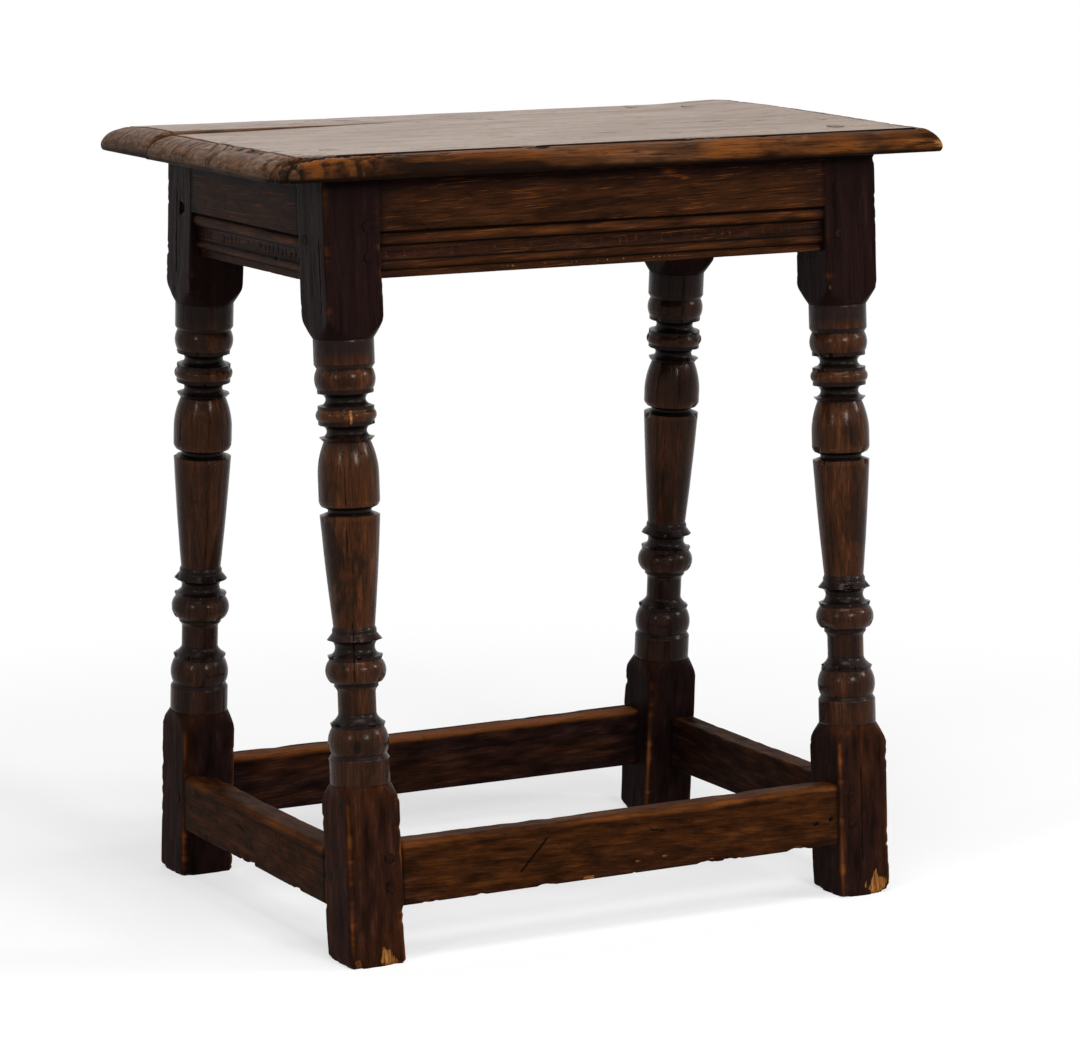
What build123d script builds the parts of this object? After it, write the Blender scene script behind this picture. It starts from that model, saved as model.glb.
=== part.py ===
from build123d import *
import os
from math import cos, radians, sin, sqrt, tan

# Joint stool of oak: four turned legs held by rails and stretchers, with a moulded seat board.
#
# Frame: +Z up, +X to the right along the seat, -Y the front. The origin is on the floor under
# the middle of the seat. Lengths are in millimetres and angles in degrees.
#
# The two long frames (front and back) lean towards each other by the rake. The two end frames
# stand upright, so their rails and stretchers have sloping shoulders.

# --- driving dimensions ---------------------------------------------------------------------

# Frame
frame_length = 400.0        # between the leg axes, left to right
frame_depth = 216.2         # between the leg axes, front to back, at the underside of the seat
rake = 3.84                 # lean of the front and back frames

# Leg blocks
upper_block_width = 43.0
upper_block_height = 98.0
lower_block_width = 42.0
lower_block_height = 112.5
block_arris = 1.6           # radius of the long edges of the blocks

# Turned members of the legs, from the foot up
shoulder_height = 13.0      # cone between a square block and its round collar
collar_height = 17.5
collar_radius = 21.2
quirk_height = 3.0          # slope from a collar down to its bead
quirk_radius = 19.3
bead_radius = 21.3
lower_bead_height = 18.6
middle_bead_height = 15.2
upper_bead_height = 14.0
ring_height = 3.0           # rise of a knife-edged ring
ring_radius = 19.3
ring_root_radius = 18.3
flare_height = 7.0          # concave sweep from the lowest ring to the neck
neck_height = 15.0
neck_radius = 13.4
neck_step_height = 7.0      # collar that tops the neck
neck_step_radius = 15.5
cove_height = 8.6           # the two coves beside the torus
cove_radius = 13.9
waist_cove_height = 11.2
waist_slope_height = 4.5    # from the cove over the waist out to the waist fillet
waist_fillet_height = 4.5
waist_fillet_radius = 15.6
waist_radius = 14.6
shaft_height = 128.0        # column, groove and vase together
front_left_column_height = 77.5     # turned by eye, so the groove sits at its own height on each leg
front_right_column_height = 85.0
back_left_column_height = 83.5
back_right_column_height = 87.5
column_radius = 21.0
column_swell = 0.4
groove_height = 6.0
groove_radius = 15.2
vase_radius = 21.3
vase_foot_height = 3.5
vase_taper_height = 23.0
vase_neck_radius = 16.4
fillet_height = 2.9
fillet_radius = 19.6
torus_height = 7.4
torus_radius = 21.2

# Rails
rail_height = 71.0          # front and back rails
end_rail_height = 74.0
rail_thickness = 22.0
rail_recess = 0.4           # from the face of the blocks to the face of the rail

# Moulding along the lower edge of each rail: depths are below the face of the rail
foot_fillet_height = 5.5
foot_fillet_depth = 8.0
ovolo_height = 6.5
ovolo_foot_depth = 6.6
ovolo_depth = 4.5
hollow_height = 10.5
hollow_depth = 6.0
hollow_edge_depth = 5.0
astragal_height = 8.5
astragal_depth = 1.6
astragal_edge_depth = 3.2
vee_height = 1.6
vee_depth = 3.4

# Stretchers
stretcher_bottom = 38.6     # front and back stretchers, above the floor
stretcher_height = 45.0
stretcher_recess = 2.7
end_stretcher_bottom = 37.1
end_stretcher_height = 41.0
end_stretcher_recess = 0.6
stretcher_thickness = 21.0
stretcher_round = 5.0       # worn top edge on the outside
stretcher_arris = 1.2

# Mortise and tenon joints
tenon_thickness = 8.0
tenon_offset = 3.5          # from the leg axis to the inner cheek of a tenon
tenon_gap = 0.5             # a tenon stops this far short of the leg axis
tenon_clearance = 0.15
tenon_lower_shoulder = 7.0
tenon_upper_shoulder = 3.0  # stretchers only
peg_radius = 3.7
peg_clearance = 0.05
peg_setback = 10.5          # from the shoulder line of a joint to its pegs
peg_inset = 8.0             # from the top or bottom of a tenon to a peg
peg_tip = 4.0               # a peg ends this far beyond the leg axis
peg_proud = 0.4
peg_chamfer = 0.6

# Seat
board_thickness = 17.3
end_overhang = 45.5         # from the blocks to the nose of the seat, at the ends
side_overhang = 21.9        # the same, at front and back
end_moulding_width = 17.0
side_moulding_width = 12.0
nose_height = 4.0           # height of the widest line above the underside
nose_undercut = 2.2
board_quirk = 1.2           # step from the top of the seat down to its moulding
seat_peg_radius = 7.0
seat_peg_depth = 16.0       # length of a seat peg inside the leg
seat_peg_proud = 0.6
seat_peg_shift_x = 4.0      # from the leg axis, outwards
seat_peg_shift_y = 4.0      # from the leg axis, inwards
seat_peg_floor = 4.0        # wood left between a seat peg and the tenons below it

# --- derived sizes --------------------------------------------------------------------------

turning_height = (
    2 * shoulder_height
    + 2 * collar_height
    + 2 * quirk_height
    + lower_bead_height
    + middle_bead_height
    + upper_bead_height
    + 3 * ring_height
    + flare_height
    + neck_height
    + neck_step_height
    + 2 * cove_height
    + waist_cove_height
    + waist_slope_height
    + waist_fillet_height
    + shaft_height
    + 3 * fillet_height
    + torus_height
)
leg_length = lower_block_height + turning_height + upper_block_height
seat_underside = leg_length * cos(radians(rake))
seat_top = seat_underside + board_thickness
foot_spread = frame_depth + 2 * seat_underside * tan(radians(rake))
board_length = frame_length + upper_block_width + 2 * end_overhang
board_width = frame_depth + upper_block_width / cos(radians(rake)) + 2 * side_overhang
tenon_haunch = seat_peg_depth + seat_peg_floor
foot_chamfer = 0.75 * block_arris

LEFT, RIGHT = -1, 1
FRONT, BACK = -1, 1
ends = {"left": LEFT, "right": RIGHT}
sides = {"front": FRONT, "back": BACK}


# --- places -----------------------------------------------------------------------------------

def up_leg(side):
    """Direction up the legs of the front or back frame."""
    return Vector(0, -side * sin(radians(rake)), cos(radians(rake)))


def outward(side):
    """Direction out of the front or back frame, square to its legs."""
    return Vector(0, side * cos(radians(rake)), sin(radians(rake)))


def side_plane(side, offset=0.0):
    """Plane through the leg axes of a long frame: X along the stool, Y up the legs."""
    origin = Vector(0, side * foot_spread / 2, 0) + outward(side) * offset
    return Plane(origin=origin, x_dir=(-side, 0, 0), z_dir=outward(side))


def end_plane(end, offset=0.0):
    """Plane through the leg axes of an end frame: Y straight up."""
    return Plane(origin=(end * (frame_length / 2 + offset), 0, 0), x_dir=(0, end, 0), z_dir=(end, 0, 0))


def side_section(side):
    """Plane across a long rail or stretcher: X outwards from the leg axes, Y up the legs."""
    return Plane(origin=(0, side * foot_spread / 2, 0), x_dir=outward(side), z_dir=(side, 0, 0))


def end_section(end):
    """Plane across an end rail or stretcher: X outwards from the leg axes, Y straight up."""
    return Plane(origin=(end * frame_length / 2, 0, 0), x_dir=(end, 0, 0), z_dir=(0, -end, 0))


def leg_axis_y(height):
    """Distance of the leg axes from the middle of the stool at a height above the floor."""
    return foot_spread / 2 - height * tan(radians(rake))


def seat_plane(height=0.0):
    return Plane.XY.offset(seat_underside + height)


# --- profiles ---------------------------------------------------------------------------------

def leg_members(column):
    """Turned members from the lower block up: height, radius at the top, radius half way up.

    A member without a radius half way up is straight.
    """
    vase_body_height = shaft_height - column - groove_height - vase_foot_height - vase_taper_height
    groove_wall = groove_height / 3
    return [
        (shoulder_height, collar_radius, None),
        (collar_height, collar_radius, None),
        (quirk_height, quirk_radius, None),
        (lower_bead_height, ring_root_radius, bead_radius),
        (ring_height, ring_radius, None),
        (flare_height, neck_radius, (2 * neck_radius + ring_root_radius) / 3),
        (neck_height, neck_radius, None),
        (neck_step_height / 2, neck_step_radius, (2 * neck_radius + neck_step_radius) / 3),
        (neck_step_height / 2, neck_step_radius, None),
        (0, ring_root_radius, None),
        (middle_bead_height, ring_root_radius, bead_radius),
        (ring_height, ring_radius, None),
        (waist_cove_height, ring_radius, cove_radius),
        (waist_slope_height, waist_fillet_radius, None),
        (waist_fillet_height / 2, waist_fillet_radius, None),
        (waist_fillet_height / 2, waist_radius, None),
        (column, column_radius, (waist_radius + column_radius) / 2 + column_swell),
        (groove_wall, groove_radius, None),
        (groove_wall, groove_radius, None),
        (groove_wall, fillet_radius, None),
        (vase_foot_height, vase_radius, (2 * vase_radius + fillet_radius) / 3),
        (vase_body_height, vase_radius, None),
        (vase_taper_height, vase_neck_radius, (3 * vase_radius + vase_neck_radius) / 4),
        (ring_height, ring_radius, None),
        (cove_height, fillet_radius, cove_radius),
        (fillet_height, fillet_radius, None),
        (torus_height, fillet_radius, torus_radius),
        (fillet_height, fillet_radius, None),
        (cove_height, fillet_radius, cove_radius),
        (fillet_height, fillet_radius, None),
        (upper_bead_height, quirk_radius, bead_radius),
        (quirk_height, collar_radius, None),
        (collar_height, collar_radius, None),
        (shoulder_height, upper_block_width / sqrt(2), None),
    ]


def leg_outline(plane, column):
    """Half section of a leg, outside the corners of its blocks and turned between them."""
    with BuildSketch(plane) as section:
        with BuildLine():
            radius = lower_block_width / sqrt(2)
            height = lower_block_height
            Polyline((0, leg_length * 2), (0, -height), (radius, -height), (radius, height))
            for member_height, top_radius, middle_radius in leg_members(column):
                foot = (radius, height)
                top = (top_radius, height + member_height)
                if middle_radius is None:
                    Line(foot, top)
                else:
                    ThreePointArc(foot, (middle_radius, height + member_height / 2), top)
                radius, height = top
            Polyline((radius, height), (radius, leg_length * 2), (0, leg_length * 2))
        make_face()
    return section.sketch


def rail_outline(plane, bottom, height):
    """Section of a rail: a flat face over an astragal, a hollow, an ovolo and a fillet."""
    face = upper_block_width / 2 - rail_recess
    back = face - rail_thickness
    ovolo_bottom = bottom + foot_fillet_height
    hollow_bottom = ovolo_bottom + ovolo_height
    astragal_bottom = hollow_bottom + hollow_height
    vee_bottom = astragal_bottom + astragal_height
    flat_bottom = vee_bottom + vee_height
    with BuildSketch(plane) as section:
        with BuildLine():
            Polyline(
                (back, bottom),
                (face - foot_fillet_depth, bottom),
                (face - foot_fillet_depth, ovolo_bottom),
                (face - ovolo_foot_depth, ovolo_bottom),
            )
            ThreePointArc(
                (face - ovolo_foot_depth, ovolo_bottom),
                (face - ovolo_depth, ovolo_bottom + ovolo_height / 2),
                (face - hollow_edge_depth, hollow_bottom),
            )
            ThreePointArc(
                (face - hollow_edge_depth, hollow_bottom),
                (face - hollow_depth, hollow_bottom + hollow_height / 2),
                (face - hollow_edge_depth, astragal_bottom),
            )
            Line((face - hollow_edge_depth, astragal_bottom), (face - astragal_edge_depth, astragal_bottom))
            ThreePointArc(
                (face - astragal_edge_depth, astragal_bottom),
                (face - astragal_depth, astragal_bottom + astragal_height / 2),
                (face - vee_depth, vee_bottom),
            )
            Polyline(
                (face - vee_depth, vee_bottom),
                (face, flat_bottom),
                (face, bottom + 2 * height),
                (back, bottom + 2 * height),
                (back, bottom),
            )
        make_face()
    return section.sketch


def board_outline(plane, width, moulding_width):
    """Section of the seat board: flat top, quirk, thumbnail moulding and undercut nose."""
    half = width / 2
    with BuildSketch(plane) as section:
        with BuildLine():
            Line((0, 0), (half - nose_undercut, 0))
            ThreePointArc(
                (half - nose_undercut, 0),
                (half - nose_undercut * 0.3, nose_height * 0.4),
                (half, nose_height),
            )
            EllipticalCenterArc(
                center=(half - moulding_width, nose_height),
                x_radius=moulding_width,
                y_radius=board_thickness - board_quirk - nose_height,
                start_angle=0,
                arc_size=90,
            )
            Polyline(
                (half - moulding_width, board_thickness - board_quirk),
                (half - moulding_width, board_thickness),
                (0, board_thickness),
            )
            mirror(about=Plane.YZ)
        make_face()
    return section.sketch


# --- joints -----------------------------------------------------------------------------------

def tenon_section(plane, bottom, top, grow):
    """Section through a tenon, made larger by the clearance for its mortise."""
    with BuildSketch(plane) as section:
        with Locations((tenon_offset + tenon_thickness / 2, (bottom + top) / 2)):
            Rectangle(tenon_thickness + 2 * grow, top - bottom + 2 * grow)
    return section.sketch


def side_tenons(side, bottom, top, grow=0.0):
    """Bar along a long frame whose two ends are the tenons."""
    with BuildPart() as bar:
        extrude(
            tenon_section(side_section(side), bottom, top, grow),
            amount=frame_length / 2 - tenon_gap + grow,
            both=True,
        )
    return bar.part


def end_tenons(end, bottom, top, grow=0.0):
    """Bar along an end frame whose two ends are the tenons, cut parallel to the legs."""
    with BuildPart() as bar:
        extrude(tenon_section(end_section(end), bottom, top, grow), amount=foot_spread / 2, both=True)
        for side in sides.values():
            split(bisect_by=side_plane(side, grow - tenon_gap), keep=Keep.BOTTOM)
    return bar.part


def rods(plane, centres, radius, length):
    """Round rods that stand on a plane."""
    with BuildPart() as group:
        with BuildSketch(plane):
            with Locations(*centres):
                Circle(radius)
        extrude(amount=length)
    return group.part


def side_peg_centres(block_width, heights):
    """Peg places on the plane of a long frame."""
    x = frame_length / 2 - block_width / 2 + peg_setback
    return [(end * x, height) for end in ends.values() for height in heights]


def end_peg_centres(block_width, heights):
    """Peg places on the plane of an end frame."""
    reach = block_width / 2 / cos(radians(rake)) - peg_setback
    return [(side * (leg_axis_y(height) - reach), height) for side in sides.values() for height in heights]


def joint_pegs(frame_plane, centres, block_width):
    """Pegs of one rail or stretcher, with chamfered heads that stand proud of the legs."""
    length = peg_tip + block_width / 2 + peg_proud
    with BuildPart() as pegs:
        add(rods(frame_plane.offset(-peg_tip), centres, peg_radius, length))
        heads = pegs.faces().sort_by(Axis(frame_plane.origin, frame_plane.z_dir))[-len(centres):]
        chamfer(heads.edges(), peg_chamfer)
    return pegs


def joint_peg_holes(frame_plane, centres, block_width):
    """Holes for those pegs, open at the face of the legs."""
    depth = peg_tip + peg_clearance
    return rods(
        frame_plane.offset(-depth),
        centres,
        peg_radius + peg_clearance,
        depth + block_width / 2 + peg_proud + peg_clearance,
    )


def seat_peg_centres():
    x = frame_length / 2 + seat_peg_shift_x
    y = leg_axis_y(seat_underside) - seat_peg_shift_y
    return [(end * x, side * y) for end in ends.values() for side in sides.values()]


rail_bottom = leg_length - rail_height
rail_tenon = (rail_bottom + tenon_lower_shoulder, leg_length - tenon_haunch)
end_rail_bottom = seat_underside - end_rail_height
end_rail_tenon = (end_rail_bottom + tenon_lower_shoulder, seat_underside - tenon_haunch)
stretcher_tenon = (
    stretcher_bottom + tenon_lower_shoulder,
    stretcher_bottom + stretcher_height - tenon_upper_shoulder,
)
end_stretcher_tenon = (
    end_stretcher_bottom + tenon_lower_shoulder,
    end_stretcher_bottom + end_stretcher_height - tenon_upper_shoulder,
)

rail_pegs = side_peg_centres(upper_block_width, [rail_tenon[0] + peg_inset, rail_tenon[1] - peg_inset])
end_rail_pegs = end_peg_centres(upper_block_width, [sum(end_rail_tenon) / 2])
stretcher_pegs = side_peg_centres(
    lower_block_width, [stretcher_tenon[0] + peg_inset, stretcher_tenon[1] - peg_inset]
)
end_stretcher_pegs = end_peg_centres(lower_block_width, [sum(end_stretcher_tenon) / 2])

seat_peg_holes = rods(
    seat_plane(-seat_peg_depth - peg_clearance),
    seat_peg_centres(),
    seat_peg_radius + peg_clearance,
    seat_peg_depth + board_thickness + seat_peg_proud + 2 * peg_clearance,
)


# --- legs -------------------------------------------------------------------------------------

def make_leg(end, side, column):
    """Squared blank, turned between its blocks, mortised and bored."""
    foot = Vector(end * frame_length / 2, side * foot_spread / 2, 0)
    across = Plane(origin=foot, x_dir=(1, 0, 0), z_dir=up_leg(side))
    along = Plane(origin=foot, x_dir=(1, 0, 0), z_dir=Vector(1, 0, 0).cross(up_leg(side)))
    turning_bottom = lower_block_height + shoulder_height
    turning_top = leg_length - upper_block_height - shoulder_height
    blank = [
        (-lower_block_height / 2, turning_bottom, lower_block_width),
        (turning_bottom, turning_top, 3 * collar_radius),
        (turning_top, leg_length + upper_block_height / 2, upper_block_width),
    ]
    cuts = [
        side_tenons(side, *rail_tenon, tenon_clearance),
        side_tenons(side, *stretcher_tenon, tenon_clearance),
        end_tenons(end, *end_rail_tenon, tenon_clearance),
        end_tenons(end, *end_stretcher_tenon, tenon_clearance),
        joint_peg_holes(side_plane(side), rail_pegs, upper_block_width),
        joint_peg_holes(side_plane(side), stretcher_pegs, lower_block_width),
        joint_peg_holes(end_plane(end), end_rail_pegs, upper_block_width),
        joint_peg_holes(end_plane(end), end_stretcher_pegs, lower_block_width),
        seat_peg_holes,
    ]
    with BuildPart() as leg:
        for bottom, top, width in blank:
            with BuildSketch(across.offset(bottom)):
                RectangleRounded(width, width, block_arris)
            extrude(amount=top - bottom)
        revolve(leg_outline(along, column), axis=Axis(foot, up_leg(side)), mode=Mode.INTERSECT)
        split(bisect_by=Plane.XY, keep=Keep.TOP)
        split(bisect_by=seat_plane(), keep=Keep.BOTTOM)
        chamfer(leg.faces().sort_by(Axis.Z)[0].edges(), foot_chamfer)
        for cut in cuts:
            add(cut, mode=Mode.SUBTRACT)
    return leg


# --- rails and stretchers -----------------------------------------------------------------------

def make_rail(side):
    """Front or back rail, square between the legs."""
    with BuildPart() as rail:
        extrude(
            rail_outline(side_section(side), rail_bottom, rail_height),
            amount=(frame_length - upper_block_width) / 2,
            both=True,
        )
        split(bisect_by=seat_plane(), keep=Keep.BOTTOM)
        add(side_tenons(side, *rail_tenon))
        add(joint_peg_holes(side_plane(side), rail_pegs, upper_block_width), mode=Mode.SUBTRACT)
    return rail


def make_end_rail(end):
    """Left or right rail, with shoulders that follow the rake of the legs."""
    with BuildPart() as rail:
        extrude(
            rail_outline(end_section(end), end_rail_bottom, end_rail_height),
            amount=foot_spread / 2,
            both=True,
        )
        split(bisect_by=seat_plane(), keep=Keep.BOTTOM)
        for side in sides.values():
            split(bisect_by=side_plane(side, -upper_block_width / 2), keep=Keep.BOTTOM)
        add(end_tenons(end, *end_rail_tenon))
        add(joint_peg_holes(end_plane(end), end_rail_pegs, upper_block_width), mode=Mode.SUBTRACT)
    return rail


def stretcher_outline(plane, bottom, height, recess):
    """Section of a stretcher, with its top edge worn round on the outside."""
    face = lower_block_width / 2 - recess
    with BuildSketch(plane) as section:
        with Locations((face - stretcher_thickness / 2, bottom + height / 2)):
            Rectangle(stretcher_thickness, height)
        corners = section.vertices()
        worn = corners.group_by(Axis.Y)[-1].sort_by(Axis.X)[-1]
        fillet(corners.filter_by(lambda corner: corner != worn), stretcher_arris)
        fillet(section.vertices().sort_by_distance((face, bottom + height))[0], stretcher_round)
    return section.sketch


def make_stretcher(side):
    """Front or back stretcher."""
    with BuildPart() as stretcher:
        extrude(
            stretcher_outline(side_section(side), stretcher_bottom, stretcher_height, stretcher_recess),
            amount=(frame_length - lower_block_width) / 2,
            both=True,
        )
        add(side_tenons(side, *stretcher_tenon))
        add(joint_peg_holes(side_plane(side), stretcher_pegs, lower_block_width), mode=Mode.SUBTRACT)
    return stretcher


def make_end_stretcher(end):
    """Left or right stretcher, with raking shoulders."""
    with BuildPart() as stretcher:
        extrude(
            stretcher_outline(
                end_section(end), end_stretcher_bottom, end_stretcher_height, end_stretcher_recess
            ),
            amount=foot_spread / 2,
            both=True,
        )
        for side in sides.values():
            split(bisect_by=side_plane(side, -lower_block_width / 2), keep=Keep.BOTTOM)
        add(end_tenons(end, *end_stretcher_tenon))
        add(joint_peg_holes(end_plane(end), end_stretcher_pegs, lower_block_width), mode=Mode.SUBTRACT)
    return stretcher


# --- the pieces -------------------------------------------------------------------------------

os.makedirs("parts", exist_ok=True)

with BuildPart() as seat_board:
    lengthwise = Plane(origin=(0, 0, seat_underside), x_dir=(0, 1, 0), z_dir=(1, 0, 0))
    crosswise = Plane(origin=(0, 0, seat_underside), x_dir=(1, 0, 0), z_dir=(0, -1, 0))
    extrude(board_outline(lengthwise, board_width, side_moulding_width), amount=board_length, both=True)
    extrude(
        board_outline(crosswise, board_length, end_moulding_width),
        amount=board_width,
        both=True,
        mode=Mode.INTERSECT,
    )
    add(seat_peg_holes, mode=Mode.SUBTRACT)
seat_board.part.label = "seat_board"
export_step(seat_board.part, "parts/seat_board.step")

with BuildPart() as seat_pegs:
    add(rods(
        seat_plane(-seat_peg_depth),
        seat_peg_centres(),
        seat_peg_radius,
        seat_peg_depth + board_thickness + seat_peg_proud,
    ))
    chamfer(seat_pegs.faces().group_by(Axis.Z)[-1].edges(), peg_chamfer)
seat_pegs.part.label = "seat_pegs"
export_step(seat_pegs.part, "parts/seat_pegs.step")

leg_columns = {
    ("front", "left"): front_left_column_height,
    ("front", "right"): front_right_column_height,
    ("back", "left"): back_left_column_height,
    ("back", "right"): back_right_column_height,
}
for (side_name, end_name), column in leg_columns.items():
    name = f"leg_{side_name}_{end_name}"
    leg = make_leg(ends[end_name], sides[side_name], column)
    leg.part.label = name
    export_step(leg.part, f"parts/{name}.step")

for side_name, side in sides.items():
    rail = make_rail(side)
    rail.part.label = f"rail_{side_name}"
    export_step(rail.part, f"parts/rail_{side_name}.step")

    stretcher = make_stretcher(side)
    stretcher.part.label = f"stretcher_{side_name}"
    export_step(stretcher.part, f"parts/stretcher_{side_name}.step")

    pegs = joint_pegs(side_plane(side), rail_pegs, upper_block_width)
    pegs.part.label = f"pegs_rail_{side_name}"
    export_step(pegs.part, f"parts/pegs_rail_{side_name}.step")

    pegs = joint_pegs(side_plane(side), stretcher_pegs, lower_block_width)
    pegs.part.label = f"pegs_stretcher_{side_name}"
    export_step(pegs.part, f"parts/pegs_stretcher_{side_name}.step")

for end_name, end in ends.items():
    rail = make_end_rail(end)
    rail.part.label = f"rail_{end_name}"
    export_step(rail.part, f"parts/rail_{end_name}.step")

    stretcher = make_end_stretcher(end)
    stretcher.part.label = f"stretcher_{end_name}"
    export_step(stretcher.part, f"parts/stretcher_{end_name}.step")

    pegs = joint_pegs(end_plane(end), end_rail_pegs, upper_block_width)
    pegs.part.label = f"pegs_rail_{end_name}"
    export_step(pegs.part, f"parts/pegs_rail_{end_name}.step")

    pegs = joint_pegs(end_plane(end), end_stretcher_pegs, lower_block_width)
    pegs.part.label = f"pegs_stretcher_{end_name}"
    export_step(pegs.part, f"parts/pegs_stretcher_{end_name}.step")

print(f"legs {leg_length:.1f} long, seat top at {seat_top:.1f}, seat {board_length:.1f} x {board_width:.1f}")
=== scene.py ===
from itertools import product
from math import ceil, cos, hypot, pi, radians, sin, tan

import bmesh
import bpy
import numpy as np
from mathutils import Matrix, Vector


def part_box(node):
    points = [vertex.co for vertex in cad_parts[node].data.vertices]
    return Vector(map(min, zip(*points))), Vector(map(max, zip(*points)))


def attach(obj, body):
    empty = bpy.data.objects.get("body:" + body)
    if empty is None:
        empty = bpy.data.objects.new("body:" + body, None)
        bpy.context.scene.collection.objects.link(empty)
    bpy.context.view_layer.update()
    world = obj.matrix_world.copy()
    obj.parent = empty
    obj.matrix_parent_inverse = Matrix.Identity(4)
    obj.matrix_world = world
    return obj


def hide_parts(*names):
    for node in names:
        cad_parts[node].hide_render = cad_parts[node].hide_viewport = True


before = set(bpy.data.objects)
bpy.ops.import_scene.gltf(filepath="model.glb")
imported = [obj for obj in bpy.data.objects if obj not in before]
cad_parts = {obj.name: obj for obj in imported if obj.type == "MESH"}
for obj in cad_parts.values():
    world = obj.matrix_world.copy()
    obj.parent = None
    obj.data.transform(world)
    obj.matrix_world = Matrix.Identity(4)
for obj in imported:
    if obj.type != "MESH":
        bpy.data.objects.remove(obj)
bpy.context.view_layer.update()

# Looks of an oak joint stool, built round its CAD frame. Lengths are in millimetres until a mesh
# is made, and angles in degrees. Every surface is a grid of points that carries, besides its
# shape, where the point lies in the wood (grain) and how worn, grimy, dark or bare it is there.

MM = 0.001
LEFT, RIGHT = -1, 1
FRONT, BACK = -1, 1
ends = {"left": LEFT, "right": RIGHT}
sides = {"front": FRONT, "back": BACK}

# --- sizes of the frame -----------------------------------------------------------------------

rake = radians(3.84)
frame_depth = 216.2         # between the leg axes, front to back, at the underside of the seat


def cad_box(node):
    """Lowest and highest corner of a CAD node, in millimetres."""
    low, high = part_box(node)
    return np.array(low) / MM, np.array(high) / MM


board_low, board_high = cad_box("seat_board")
leg_low, leg_high = cad_box("leg_front_right")
seat_underside = board_low[2]
leg_x = (leg_low[0] + leg_high[0]) / 2
foot_y = frame_depth / 2 + seat_underside * tan(rake)
leg_length = seat_underside / cos(rake)

upper_block_width = 43.0
upper_block_height = 98.0
lower_block_width = 42.0
lower_block_height = 112.5

# Turned members: the same values as in the CAD source
shoulder_height = 13.0
collar_height = 17.5
collar_radius = 21.2
quirk_height = 3.0
quirk_radius = 19.3
bead_radius = 21.3
lower_bead_height = 18.6
middle_bead_height = 15.2
upper_bead_height = 14.0
ring_height = 3.0
ring_radius = 19.3
ring_root_radius = 18.3
flare_height = 7.0
neck_height = 15.0
neck_radius = 13.4
neck_step_height = 7.0
neck_step_radius = 15.5
cove_height = 8.6
cove_radius = 13.9
waist_cove_height = 11.2
waist_slope_height = 4.5
waist_fillet_height = 4.5
waist_fillet_radius = 15.6
waist_radius = 14.6
shaft_height = 128.0
column_radius = 21.0
column_swell = 0.4
groove_height = 6.0
groove_radius = 15.2
vase_radius = 21.3
vase_foot_height = 3.5
vase_taper_height = 23.0
vase_neck_radius = 16.4
fillet_height = 2.9
fillet_radius = 19.6
torus_height = 7.4
torus_radius = 21.2

# Rails and stretchers
rail_height = 71.0
end_rail_height = 74.0
rail_thickness = 22.0
rail_recess = 0.4
stretcher_bottom = 38.6
stretcher_height = 45.0
stretcher_recess = 2.7
end_stretcher_bottom = 37.1
end_stretcher_height = 41.0
end_stretcher_recess = 0.6
stretcher_thickness = 21.0
hidden_end = 2.0            # how far a rail or stretcher runs on into the legs


# --- noise ------------------------------------------------------------------------------------

def lattice(seed, *cells):
    """Repeatable random numbers from -1 to 1, one for each whole-number cell."""
    value = np.full(1, seed * 7919 + 17, np.uint64)
    for prime, cell in zip((73856093, 19349663, 83492791), cells):
        value = value ^ (cell.astype(np.int64) * prime).astype(np.uint64)
        value = value * np.uint64(6364136223846793005) + np.uint64(1442695040888963407)
        value = value ^ (value >> np.uint64(31))
    return (value >> np.uint64(40)).astype(float) / 2**23 - 1


def noise(seed, *places):
    """Smooth noise from -1 to 1, one cell to a unit of each coordinate."""
    places = np.broadcast_arrays(*[np.asarray(place, float) for place in places])
    cells = [np.floor(place) for place in places]
    parts = [place - cell for place, cell in zip(places, cells)]
    eased = [part * part * (3 - 2 * part) for part in parts]
    total = 0.0
    for corner in product((0, 1), repeat=len(places)):
        weight = 1.0
        for step, ease in zip(corner, eased):
            weight = weight * (ease if step else 1 - ease)
        total = total + weight * lattice(seed, *[cell + step for cell, step in zip(cells, corner)])
    return total


def fractal(seed, *places, octaves=3):
    """Noise in layers, each twice as fine and half as strong as the one before."""
    layers = [noise(seed + n, *[np.asarray(p) * 2.0**n for p in places]) / 2.0**n for n in range(octaves)]
    return sum(layers)


def ramp(value, low, high):
    """0 below low, 1 above high and a smooth rise between; low may be the greater."""
    share = np.clip((value - low) / (high - low), 0, 1)
    return share * share * (3 - 2 * share)


def hump(distance, width):
    """1 where distance is 0, falling away to nothing beyond about twice the width."""
    return np.exp(-((distance / width) ** 2))


def smallest(a, b, blend):
    """The smaller of two shapes, with the crease between them worn round."""
    return (a + b - np.sqrt((a - b) ** 2 + blend * blend)) / 2


def from_spot(spot, x, y):
    """Distance from the middle of a spot, 1 at its edge."""
    return np.hypot((x - spot["at"][0]) / spot["size"][0], (y - spot["at"][1]) / spot["size"][1])


def from_line(line, x, y):
    """Distance from the straight line between the ends of a crack or scratch."""
    start, stop = np.array(line["from"], float), np.array(line["to"], float)
    run = stop - start
    share = np.clip(((x - start[0]) * run[0] + (y - start[1]) * run[1]) / (run @ run), 0, 1)
    return np.hypot(x - start[0] - run[0] * share, y - start[1] - run[1] * share)


# --- meshes -----------------------------------------------------------------------------------

def grid_faces(rows, columns, first, closed):
    """Faces over a grid of points numbered row by row from first; closed makes it a capped tube."""
    index = np.arange(rows * columns).reshape(rows, columns) + first
    if closed:
        index = np.hstack([index, index[:, :1]])
    corners = [index[:-1, :-1], index[:-1, 1:], index[1:, 1:], index[1:, :-1]]
    faces = np.stack(corners, -1).reshape(-1, 4).tolist()
    if closed:
        faces.append(index[0, :columns][::-1].tolist())
        faces.append(index[-1, :columns].tolist())
    return faces


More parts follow.
